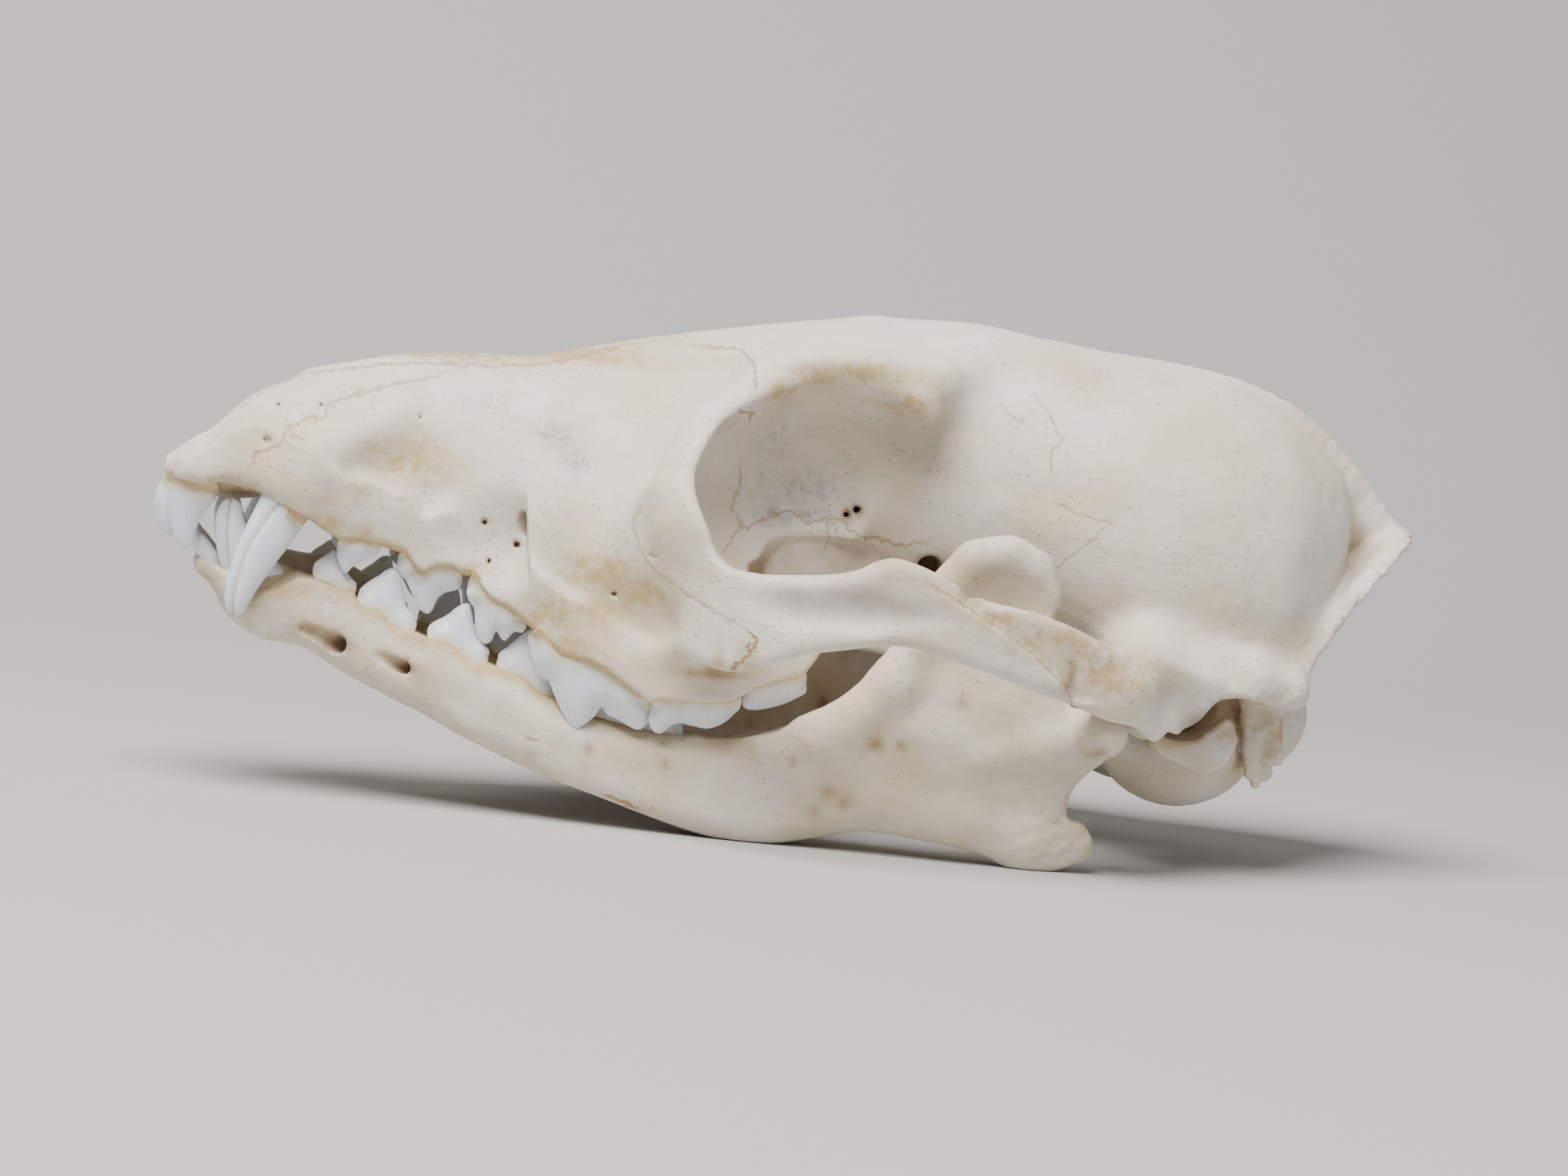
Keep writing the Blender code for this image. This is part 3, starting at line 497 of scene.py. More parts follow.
def skull_form(block):
    """The whole skull without its jaw and teeth."""
    fang_root = bar(block, ((18.0, 10.4, 40.5), (22.5, 9.8, 44.6), (30.0, 8.4, 49.0)), (2.7, 2.3, 1.0))
    neck_joint = ellipsoid(block, (147.6, 9.2, 19.0), (4.4, 4.6, 6.2), pitch=20.0)
    air_passage = bar(block, ((72.0, 0.0, 33.0), (92.0, 0.0, 30.6), (112.0, 0.0, 25.4)), (4.6, 5.4, 4.0))
    form = join(snout(block), braincase(block), 5.0)
    form = join(form, front_palate(block), 2.0)
    form = join(form, fang_root, 5.0)
    form = join(form, gum_wall(block, UPPER_WALL, UPPER_EDGE, 1), 3.5)
    form = eye_socket(form, block)
    form = join(form, cheek_arch(block), 5.0)
    form = join(form, jaw_socket(block), 4.0)
    form = join(form, back_of_head(block), 3.2)
    form = join(form, ear_shelf(block), 4.0)
    form = carve(form, under_ear_shelf(block), 0.7)
    form = join(form, ear_region(block), 1.2)
    form = join(form, neck_joint, 2.5)
    form = carve(form, mouth_roof(block), 1.5)
    form = join(form, throat_wings(block), 2.0)
    form = carve(form, air_passage, 1.2)
    form = nose_opening(form, block)
    form = cheek_canal(form, block)
    form = ear_and_hinge(form, block)
    for hole in SKULL_PITS:
        form = pit(form, block, *hole)
    return form


# The lower jaw's forms

def chin(block):
    """The front of the jaw, where its two halves meet."""
    return loft(block, (
        (6.2, 27.9, 29.0, 3.6, 4.0),
        (8.4, 26.6, 28.7, 5.4, 5.6),
        (10.4, 25.2, 27.9, 6.6, 6.6),
        (13.0, 23.1, 26.6, 8.0, 7.8),
        (17.0, 21.2, 25.8, 9.2, 9.0),
        (20.0, 19.8, 25.0, 9.6, 9.6),
        (26.0, 16.4, 21.8, 10.0, 10.0),
        (34.0, 13.6, 17.6, 9.6, 9.6),
    ), powers=(2.2, 2.6), end=1.2)


def jaw_body(block, middle, half):
    """The long body of the jaw that carries the teeth."""
    return plate(block, (
        (7.6, 27.6), (13.0, 24.4), (18.0, 26.0), (26.0, 25.4), (35.0, 20.8), (44.0, 18.2), (52.0, 14.6),
        (61.0, 12.4), (76.0, 12.2), (85.0, 15.0), (94.0, 18.5), (104.0, 15.0), (107.0, 8.0), (103.0, 3.7),
        (93.5, 3.2), (86.0, 1.0), (76.0, -0.5), (60.0, 3.4), (46.0, 7.8), (32.0, 14.0), (21.4, 19.1),
        (14.2, 23.3), (10.2, 26.1),
    ), middle, half, edge=3.4)


def jaw_blade(block, middle, half):
    """The thin upright blade behind the teeth, with the hook at the jaw's rear corner."""
    return plate(block, (
        (82.0, 14.5), (88.1, 18.3), (92.8, 22.5), (96.4, 29.0), (98.9, 35.9), (100.8, 38.2),
        (104.0, 40.7), (107.9, 41.3), (110.6, 40.2), (112.6, 37.6), (113.8, 34.6), (113.2, 30.0),
        (114.0, 25.0), (117.0, 20.5), (120.5, 18.5), (120.4, 14.5),
        (117.6, 10.0), (117.6, 6.8), (120.6, 4.6), (119.6, 1.6), (112.6, -0.5), (104.8, 2.7), (95.0, 4.2),
        (86.0, 6.0),
    ), middle + 0.6, half, edge=1.6)


def jaw_form(block):
    """One half of the lower jaw, not yet cut at the chin."""
    middle, half, blade_half = smooth_through((
        (7.0, 3.6, 2.6, 1.6),
        (14.0, 5.6, 3.7, 1.6),
        (20.0, 6.9, 3.9, 1.6),
        (33.0, 9.8, 3.9, 1.6),
        (46.0, 13.4, 4.0, 1.6),
        (60.0, 16.8, 4.4, 1.6),
        (75.0, 19.8, 4.3, 1.6),
        (90.0, 23.3, 3.5, 1.7),
        (105.0, 27.2, 2.4, 1.7),
        (113.0, 28.4, 2.0, 1.7),
        (121.0, 29.4, 1.8, 1.7),
    ), block[0])
    front_ridge = bar(block, (
        (87.0, 23.4, 13.0), (94.5, 26.0, 22.0), (98.5, 27.2, 31.0), (103.0, 28.0, 38.5),
    ), (3.0, 2.8, 2.1, 1.6), blend=2.0)
    lower_ridge = bar(block, (
        (94.0, 25.0, 6.4), (105.0, 27.6, 5.2), (113.0, 28.8, 2.9), (118.0, 28.8, 4.2),
    ), (2.6, 2.4, 2.5, 1.9), blend=2.0)
    neck = bar(block, ((106.0, 28.0, 13.0), (114.0, 29.0, 15.4), (119.2, 30.4, 17.0)), (1.8, 2.4, 2.8),
               blend=2.0)
    hinge = bar(block, (HINGE_INNER, HINGE_OUTER), HINGE_RADII)
    fang_swelling = ellipsoid(block, (16.0, 6.6, 24.6), (7.0, 3.4, 4.8), pitch=20.0)
    blade_rim = bar(block, (
        (99.4, 27.6, 35.0), (102.6, 28.2, 38.2), (107.0, 28.6, 39.4), (110.8, 28.6, 38.0),
        (112.4, 28.6, 34.6),
    ), (1.6, 1.9, 1.9, 1.8, 1.4), blend=1.5)
    blade_hollow = ellipsoid(block, (107.0, 32.6, 32.6), (6.4, 3.6, 4.8))
    form = join(chin(block), jaw_body(block, middle, half), 3.0)
    form = join(form, fang_swelling, 2.0)
    form = join(form, jaw_blade(block, middle, blade_half), 3.0)
    form = join(form, join(front_ridge, lower_ridge, 2.0), 2.5)
    form = join(form, join(neck, hinge, 2.5), 2.0)
    form = join(form, gum_wall(block, LOWER_WALL, LOWER_EDGE, -1), 2.0)
    form = carve(join(form, blade_rim, 1.5), blade_hollow, 1.4)
    return nerve_holes(form, block)


def nerve_holes(form, block):
    """The jaw with the slanting slots in its side where the nerves of the lip come out."""
    for start, finish, deep, radius in (
            ((20.4, 11.6, 21.6), (24.4, 12.3, 20.1), (28.0, 8.6, 19.4), 1.25),
            ((29.8, 13.9, 19.2), (33.4, 13.5, 17.8), (36.8, 10.4, 17.1), 0.9)):
        form = carve(form, bar(block, (start, finish, deep), (0.6, radius, radius * 0.8), blend=0.4), 0.4)
    return form


# Teeth

# A cheek tooth seen from its outer side. Crown runs along the cutting edge and neck back along the gum,
# both as (x, z). Middle is its y, the x where it has that y, and how fast y grows along x. Half is half
# its width, and sunk, where it isn't CROWN_SUNK, is how deep its base lies. Roots are pairs of (x, z,
# radius), at the gum and deep down.
UPPER_CHEEK_TEETH = {
    "premolar_1": dict(
        crown=((23.7, 32.2), (23.7, 31.0), (24.6, 29.3), (25.3, 29.0), (26.1, 29.9), (27.7, 31.1),
               (28.9, 31.5), (29.3, 32.3)),
        neck=((29.1, 32.9), (26.5, 33.3), (23.9, 33.0)),
        middle=(10.7, 26.5, 0.05), half=1.25,
        roots=(((26.2, 32.6, 1.5), (27.8, 38.5, 0.9)),)),
    "premolar_2": dict(
        crown=((31.6, 31.7), (31.6, 30.8), (32.2, 29.8), (33.0, 28.2), (33.7, 26.9), (34.6, 25.4),
               (35.7, 24.6), (36.5, 25.1), (36.9, 26.2), (37.3, 27.0), (38.1, 27.6), (39.4, 28.0),
               (40.0, 28.8), (40.0, 29.5)),
        neck=((39.6, 30.1), (38.5, 30.8), (37.3, 30.9), (36.1, 30.6), (35.1, 29.9), (34.2, 29.9),
              (33.4, 30.8), (32.4, 32.1)),
        middle=(11.4, 36.0, 0.12), half=1.7,
        roots=(((33.0, 30.6, 1.2), (33.8, 37.0, 0.8)), ((38.0, 30.0, 1.3), (39.6, 36.0, 0.8)))),
    "premolar_3": dict(
        crown=((40.6, 29.3), (41.0, 27.8), (41.5, 26.2), (41.8, 24.4), (42.3, 22.8), (43.2, 21.6),
               (44.2, 22.0), (44.65, 23.3), (45.0, 22.8), (45.7, 22.2), (46.5, 22.9), (46.9, 23.8),
               (47.4, 23.5), (48.0, 23.5), (48.4, 24.1)),
        neck=((48.0, 25.0), (46.8, 25.9), (45.6, 26.5), (44.1, 27.0), (43.2, 27.5), (42.1, 28.7),
              (41.2, 29.9)),
        middle=(13.8, 44.0, 0.28), half=1.85,
        roots=(((41.9, 28.0, 1.3), (42.6, 31.0, 0.8)), ((46.4, 25.2, 1.4), (47.4, 29.0, 0.8)))),
    "premolar_4": dict(
        crown=((48.4, 23.3), (48.6, 22.2), (49.5, 20.9), (50.6, 19.4), (51.4, 18.1), (52.2, 16.3),
               (53.3, 14.3), (54.4, 12.8), (55.4, 12.3), (56.4, 12.9), (57.7, 14.2), (58.3, 15.3),
               (58.9, 14.5), (60.5, 13.9), (61.7, 13.3), (62.9, 12.9), (63.8, 13.4), (64.4, 14.4),
               (64.5, 15.6)),
        neck=((64.1, 16.6), (62.7, 17.4), (61.0, 18.5), (59.3, 19.6), (57.9, 20.4), (56.0, 21.0),
              (54.1, 21.3), (52.5, 21.5), (51.0, 22.6), (49.6, 23.8)),
        middle=(19.6, 56.0, 0.3), half=2.2,
        roots=(((51.4, 21.8, 1.6), (51.8, 28.5, 1.0)), ((61.4, 17.8, 2.0), (63.4, 25.0, 1.1)))),
    "molar_1": dict(
        crown=((64.0, 16.0), (64.0, 14.4), (64.8, 13.0), (66.0, 12.9), (67.2, 14.1), (68.4, 15.0),
               (69.8, 14.6), (71.3, 13.9), (72.8, 14.2), (74.2, 15.2), (75.6, 16.6)),
        neck=((75.4, 18.2), (73.6, 17.6), (71.2, 17.4), (68.9, 17.2), (66.6, 17.2), (64.8, 17.2)),
        middle=(22.8, 69.0, -0.05), half=2.4,
        roots=(((66.8, 16.4, 1.7), (67.6, 23.0, 1.0)), ((72.6, 16.6, 1.6), (73.4, 23.0, 1.0)))),
    "molar_2": dict(
        crown=((75.9, 18.6), (75.9, 17.1), (77.0, 16.5), (79.4, 16.8), (81.6, 17.8), (83.6, 18.6),
               (84.4, 19.4), (84.2, 20.6)),
        neck=((83.4, 21.6), (80.5, 20.6), (77.0, 19.4)),
        middle=(20.8, 79.0, -0.2), half=2.0,
        roots=(((78.6, 19.4, 1.3), (79.8, 25.0, 0.8)), ((82.2, 20.6, 1.2), (83.6, 25.0, 0.8)))),
}
LOWER_CHEEK_TEETH = {
    "premolar_1": dict(
        crown=((20.9, 29.0), (21.0, 29.7), (21.4, 30.3), (22.7, 31.3), (23.6, 31.9), (24.4, 31.0),
               (25.7, 28.8), (26.7, 27.9), (26.8, 27.3)),
        neck=((26.3, 26.9), (24.5, 27.0), (23.0, 27.6), (21.4, 28.2)),
        middle=(9.0, 23.5, 0.1), half=1.3,
        roots=(((23.8, 27.8, 1.4), (25.4, 22.4, 0.8)),)),
    "premolar_2": dict(
        crown=((26.9, 26.3), (27.1, 27.2), (28.2, 28.3), (29.3, 29.1), (30.3, 30.0), (31.2, 30.35),
               (31.9, 30.1), (32.4, 28.7), (32.8, 26.7), (33.5, 25.1), (34.5, 24.1), (34.7, 23.4)),
        neck=((34.1, 22.7), (33.0, 22.3), (31.9, 22.6), (30.9, 23.4), (30.1, 24.3), (29.1, 24.8),
              (28.0, 24.6), (27.2, 25.2)),
        middle=(10.4, 31.0, 0.2), half=1.6,
        roots=(((28.5, 25.6, 1.2), (29.8, 20.0, 0.8)), ((32.9, 23.4, 1.2), (34.4, 18.0, 0.8)))),
    "premolar_3": dict(
        crown=((36.0, 22.7), (36.2, 23.4), (37.2, 24.2), (38.3, 24.9), (39.4, 26.0), (40.4, 26.6),
               (41.2, 26.6), (41.6, 25.4), (42.0, 23.8), (42.6, 22.3), (43.9, 21.2), (44.2, 20.5),
               (44.0, 19.9)),
        neck=((43.7, 19.4), (42.7, 18.8), (41.6, 19.1), (40.6, 19.9), (39.8, 20.8), (38.6, 21.4),
              (37.2, 21.5), (36.4, 21.8)),
        middle=(12.2, 40.0, 0.2), half=1.7,
        roots=(((37.9, 22.2, 1.3), (38.8, 16.5, 0.8)), ((42.2, 20.0, 1.3), (43.6, 14.5, 0.8)))),
    "premolar_4": dict(
        crown=((45.1, 19.6), (45.2, 20.6), (46.1, 21.5), (47.1, 22.5), (48.2, 23.6), (49.2, 24.2),
               (50.0, 23.4), (50.6, 22.0), (51.2, 21.3), (52.0, 21.4), (52.8, 20.4), (53.0, 19.0),
               (53.6, 17.6), (53.4, 16.4)),
        neck=((52.6, 15.6), (50.4, 16.3), (49.2, 17.3), (48.2, 18.0), (46.6, 18.2), (45.4, 18.8)),
        middle=(13.8, 49.0, 0.2), half=1.8,
        roots=(((46.9, 18.8, 1.4), (47.6, 13.0, 0.9)), ((51.4, 16.8, 1.4), (52.8, 11.5, 0.9)))),
    "molar_1": dict(
        crown=((53.8, 15.6), (53.9, 17.4), (55.0, 19.4), (56.4, 20.4), (57.8, 19.2), (58.8, 18.6),
               (60.2, 20.6), (61.4, 22.0), (62.6, 20.8), (63.4, 18.0), (64.4, 16.6), (66.0, 16.4),
               (67.6, 16.2), (68.8, 15.4), (69.2, 13.9)),
        neck=((68.6, 12.3), (65.8, 12.4), (62.0, 12.9), (58.0, 13.8), (55.0, 14.6)),
        middle=(16.0, 61.0, 0.2), half=2.3,
        roots=(((56.6, 14.8, 1.8), (57.2, 8.0, 1.0)), ((65.8, 13.2, 1.8), (66.8, 7.0, 1.0)))),
}
REAR_LOWER_MOLARS = {
    "molar_2": dict(
        crown=((70.0, 13.8), (70.2, 15.0), (71.6, 15.8), (72.8, 15.2), (74.2, 15.6), (75.6, 15.0),
               (76.4, 14.0)),
        neck=((76.0, 12.9), (73.0, 12.7), (70.4, 12.9)),
        middle=(18.6, 73.0, 0.15), half=2.2,
        roots=(((71.6, 13.4, 1.4), (72.0, 8.0, 0.9)), ((74.8, 13.4, 1.4), (75.6, 8.6, 0.9)))),
    "molar_3": dict(
        crown=((78.0, 14.4), (78.6, 15.3), (79.6, 15.5), (80.6, 15.2), (81.2, 14.4)),
        neck=((80.6, 13.7), (78.5, 13.6)),
        middle=(19.8, 79.5, 0.1), half=1.5,
        roots=(((79.6, 14.0, 1.1), (80.2, 9.6, 0.7)),)),
}
CORNER_INCISOR = dict(
    crown=((1.7, 38.9), (1.7, 37.4), (1.9, 35.6), (2.4, 33.4), (3.2, 31.4), (4.0, 30.5), (5.0, 30.2),
           (5.6, 31.0), (6.1, 33.4), (7.0, 35.4), (8.0, 36.7), (8.4, 38.0)),
    neck=((7.9, 37.6), (5.6, 37.7), (3.6, 38.5), (2.2, 38.6)),
    middle=(7.8, 5.0, 0.25), half=2.0, sunk=1.9,
    roots=(((5.4, 39.4, 1.4), (8.0, 42.0, 0.8)),))

# Inner cusps and shelves of the broad teeth, as bars (points, radii).
INNER_CUSPS = {
    "upper_premolar_4": (((51.6, 17.6, 21.0), (51.3, 15.6, 18.6)), (2.0, 1.0)),
    "upper_molar_1": (((69.4, 21.0, 17.6), (69.4, 17.6, 17.2)), (3.4, 2.2)),
    "upper_molar_2": (((80.2, 18.6, 20.0), (80.4, 15.6, 19.8)), (2.4, 1.7)),
    "lower_molar_1": (((63.6, 14.4, 14.6), (67.2, 15.6, 14.4)), (1.2, 1.5)),
}

# The two fangs: rows of (z, front x, rear x, middle y, half width), from the root's deep end to the tip.
UPPER_FANG = (
    (46.0, 23.0, 26.6, 9.8, 1.1),
    (42.0, 17.4, 23.6, 10.4, 1.7),
    (39.0, 14.0, 21.0, 10.9, 2.0),
    (37.5, 13.4, 20.5, 11.0, 2.05),
    (36.0, 12.8, 20.1, 11.1, 2.05),
    (34.0, 12.0, 18.8, 11.3, 1.95),
    (32.0, 11.3, 17.7, 11.5, 1.8),
    (30.0, 10.8, 16.4, 11.6, 1.65),
    (28.0, 10.3, 15.2, 11.7, 1.45),
    (26.0, 10.05, 14.0, 11.8, 1.2),
    (24.5, 10.1, 13.3, 11.8, 0.95),
    (23.6, 10.35, 12.9, 11.7, 0.75),
    (22.9, 10.9, 12.4, 11.7, 0.45),
    (22.6, 11.5, 12.0, 11.7, 0.2),
)
LOWER_FANG = (
    (21.0, 16.6, 21.8, 6.8, 1.4),
    (24.0, 12.4, 20.8, 7.1, 1.9),
    (26.5, 10.4, 19.4, 7.3, 2.0),
    (28.0, 9.6, 18.2, 7.5, 1.95),
    (29.5, 9.0, 16.4, 7.7, 1.8),
    (31.0, 8.55, 14.6, 7.9, 1.65),
    (33.0, 8.25, 12.8, 8.2, 1.4),
    (35.0, 8.2, 11.8, 8.4, 1.1),
    (36.3, 8.6, 11.4, 8.6, 0.8),
    (37.0, 9.1, 10.9, 8.7, 0.5),
    (37.3, 9.7, 10.3, 8.7, 0.2),
)

# The line where each fang's crown ends, as (x, z).
UPPER_FANG_NECK = (
    (13.0, 39.8), (15.4, 39.0), (16.3, 38.1), (16.9, 36.8), (17.6, 35.8), (19.0, 35.0), (21.5, 34.4),
)
LOWER_FANG_NECK = ((9.5, 27.2), (11.4, 25.4), (13.4, 24.9), (17.1, 26.2), (19.1, 28.2), (21.0, 29.0))

# The crack that runs down each fang's outer side, as (x, z), how deep and how wide its groove is, and how
# far from it the enamel is stained.
UPPER_FANG_CRACK = (
    (16.8, 39.0), (16.0, 37.5), (14.4, 35.0), (13.0, 32.5), (12.1, 30.1), (11.6, 27.9), (11.3, 25.7),
    (11.2, 24.1), (11.4, 22.4),
)
LOWER_FANG_CRACK = ((9.9, 37.5), (9.7, 34.7), (9.8, 32.2), (10.1, 30.3), (10.8, 27.5))
CRACK_DEPTH = 0.4
CRACK_REACH = 0.45
CRACK_STAIN = 0.5

# How many sides and how many rings a fang's mesh has.
FANG_SIDES = 72
FANG_RINGS = 90

# The small front teeth: the deep end of the root, the bend at the gum, the tip, the crown's radius, and
# how many times wider than deep the tooth is.
FRONT_TEETH = {
    "upper_incisor_1": ((6.6, 1.9, 42.2), (0.6, 1.9, 39.4), (1.9, 1.9, 31.9), 1.45, 1.15),
    "upper_incisor_2": ((7.4, 4.6, 42.6), (1.0, 4.9, 39.4), (2.6, 4.9, 31.6), 1.6, 1.0),
    "lower_incisor_1": ((13.0, 1.2, 24.0), (6.4, 1.3, 29.0), (5.3, 1.3, 33.0), 0.95, 1.1),
    "lower_incisor_2": ((13.6, 3.2, 24.0), (6.8, 3.6, 29.0), (5.8, 3.7, 33.2), 1.05, 1.1),
    "lower_incisor_3": ((13.4, 5.0, 24.0), (7.6, 5.6, 28.4), (6.4, 5.9, 32.2), 1.25, 1.0),
}

# A small front tooth's thickness along it, from the root's deep end to the tip, as parts of its length
# and radius.
FRONT_TOOTH_THICKNESS = (
    (0.0, 0.45), (0.3, 0.72), (0.5, 0.86), (0.62, 1.0), (0.8, 0.86), (0.93, 0.6), (1.0, 0.18),
)

# How far a crown reaches into the bone, how far the bone stays back from it, and how round its rim is.
CROWN_SUNK = 1.4
NECK_SHOWN = 0.2
CROWN_ROUNDING = 0.25

# The edge of the bone between and before the cheek teeth, as (x, z).
UPPER_EDGE_BETWEEN = (
    (0.0, 40.1), (3.7, 40.2), (5.1, 39.9), (6.4, 39.6), (7.3, 40.2), (8.6, 40.7), (10.5, 40.2),
    (11.5, 39.7), (12.8, 40.1), (14.4, 39.4), (15.4, 39.0), (17.5, 37.6), (19.3, 36.5), (20.2, 35.8),
    (20.9, 35.1), (21.9, 34.4), (23.2, 33.7), (86.0, 25.5), (92.0, 31.0),
)
LOWER_EDGE_BETWEEN = (
    (5.0, 28.8), (7.4, 28.6), (9.0, 27.6), (10.2, 26.4), (11.5, 25.3), (13.4, 24.7), (15.6, 25.3),
    (17.1, 26.0), (18.4, 27.3), (19.3, 28.1), (20.6, 27.9), (79.0, 13.4),
    (84.0, 14.8), (90.0, 18.0),
)

# The wall of bone that holds the roots: (x, the y of its middle, half its width, its height), and how
# round it is.
UPPER_WALL = (
    (1.8, 5.4, 1.6, 0.8), (3.6, 7.0, 2.6, 1.6), (5.5, 7.7, 2.8, 3.2), (8.0, 8.3, 2.4, 4.4),
    (11.5, 9.2, 1.8, 7.0), (15.0, 10.4, 2.2, 7.0), (19.0, 10.8, 2.6, 7.0), (24.0, 10.7, 2.3, 7.0),
    (28.0, 10.6, 2.1, 7.0), (34.0, 11.2, 2.5, 7.0), (40.0, 12.4, 2.6, 7.0), (46.0, 14.4, 2.7, 7.0),
    (52.0, 17.8, 2.9, 7.0), (58.0, 20.4, 3.2, 7.0), (64.0, 22.4, 3.3, 7.0), (70.0, 22.8, 3.3, 7.0),
    (76.0, 21.6, 3.1, 7.0), (82.0, 20.2, 2.7, 6.0), (86.0, 19.4, 2.0, 5.0),
)
LOWER_WALL = (
    (7.0, 4.8, 1.6, 1.0), (9.5, 5.8, 2.2, 1.6), (12.5, 6.8, 2.7, 3.0), (17.0, 7.6, 2.8, 5.6),
    (21.0, 8.5, 2.3, 7.0), (25.0, 9.2, 2.1, 7.0), (31.0, 10.3, 2.4, 7.0), (40.0, 12.2, 2.5, 7.0),
    (49.0, 13.9, 2.6, 7.0), (58.0, 15.5, 3.1, 7.0), (66.0, 17.0, 3.2, 7.0), (73.0, 18.5, 3.1, 7.0),
    (80.0, 19.9, 2.8, 7.0), (87.0, 21.8, 2.0, 7.0),
)
WALL_ROUNDING = 0.7


def bone_edge(teeth, between, up):
    """The line where the bone ends along a row of teeth, as its x and its z. Up is 1 in the upper jaw."""
    points = [(x, z + up * NECK_SHOWN) for tooth in teeth.values() for x, z in tooth["neck"]]
    return np.array(sorted(points + list(between)), np.float32).T


UPPER_EDGE = bone_edge(UPPER_CHEEK_TEETH, UPPER_EDGE_BETWEEN, 1)
LOWER_EDGE = bone_edge(LOWER_CHEEK_TEETH | REAR_LOWER_MOLARS, LOWER_EDGE_BETWEEN, -1)


def gum_wall(block, row, edge, up):
    """The wall of bone that holds a row of teeth's roots. Up is 1 in the upper jaw and -1 in the lower."""
    x, y, z = block
    middle, half, height = smooth_through(row, x)
    rise = (z - np.interp(x, *edge).astype(np.float32)) * up
    wall = np.maximum(np.abs(y - middle) - half, np.maximum(row[0][0] - x, x - row[-1][0]))
    return overlap_of(wall, np.maximum(-rise, rise - height), WALL_ROUNDING)


def across_of(tooth, x):
    """The y of a tooth's middle at x."""
    y, x_there, slope = tooth["middle"]
    return y + (x - x_there) * slope


# The holes that the left jaw's two missing rear teeth leave: (x, z, radius).
EMPTY_SOCKETS = ((70.9, 12.4, 1.5), (74.0, 12.6, 1.1), (77.2, 12.8, 1.6), (81.6, 14.0, 1.5))


def empty_socket(block, x, z, radius):
    """One of those holes, which narrows downwards."""
    aside = (x - 71.0) * 0.2
    mouth = (x, 18.6 + aside, z + 2.0)
    foot = (x + 0.7, 18.4 + aside, z - 4.6)
    return bar(block, (mouth, foot), (radius, radius * 0.6))


def depth_within(x, z, line):
    """Distance in a plane from an open line, smooth where two of its stretches are equally near."""
    total = 0
    for (x0, z0), (x1, z1) in zip(line, line[1:]):
        length = math.hypot(x1 - x0, z1 - z0)
        run_x, run_z = (x1 - x0) / length, (z1 - z0) / length
        along = (x - x0) * run_x + (z - z0) * run_z
        left = length - along
        off = ((x - x0) * run_z - (z - z0) * run_x) ** 2 + TINY_SQUARE
        total = total + (left / np.sqrt(off + left**2) + along / np.sqrt(off + along**2)) / off
    return np.sqrt(2 / np.maximum(total, TINY)).astype(np.float32)


def crown_form(block, tooth, up):
    """The crown of a cheek tooth: a blade that thins to its cutting edge, its base sunk in the bone.

    It has its full width from full_depth below its cutting edge.
    """
    x, y, z = block
    edge = curved(tooth["crown"])
    base = [(base_x, base_z + up * tooth.get("sunk", CROWN_SUNK)) for base_x, base_z in tooth["neck"]]
    outline = outline_distance(x, z, np.concatenate((edge, base)))
    full_depth = 0.6 + 1.5 * tooth["half"]
    rise = np.clip(depth_within(x, z, edge) / full_depth, 0, 1)
    half = tooth["half"] * (1 - (1 - rise) ** 2)
    return overlap_of(np.abs(y - across_of(tooth, x)) - half, outline, CROWN_ROUNDING)


def above_gum(x, z, tooth, up):
    """How far a point lies beyond the neck line, towards the crown: negative on the root."""
    neck = np.array(tooth["neck"])
    first, last = neck[0], neck[-1]
    reach = np.array((6.0 * np.sign(first[0] - last[0]), 0.0))
    deep = np.array((0.0, 14.0 * up))
    region = [first + reach, *neck, last - reach, last - reach + deep, first + reach + deep]
    return outline_distance(x, z, np.array(region))


def cheek_tooth_form(block, name, tooth, up):
    """A whole cheek tooth: its crown, its roots, and the inner cusp or shelf if it has one."""
    form = crown_form(block, tooth, up)
    if name in INNER_CUSPS:
        form = join(form, bar(block, *INNER_CUSPS[name]), 1.6)
    for root in tooth["roots"]:
        points = [(root_x, across_of(tooth, root_x), root_z) for root_x, root_z, radius in root]
        form = join(form, bar(block, points, [radius for root_x, root_z, radius in root]), 0.9)
    return form


# Turning forms into meshes

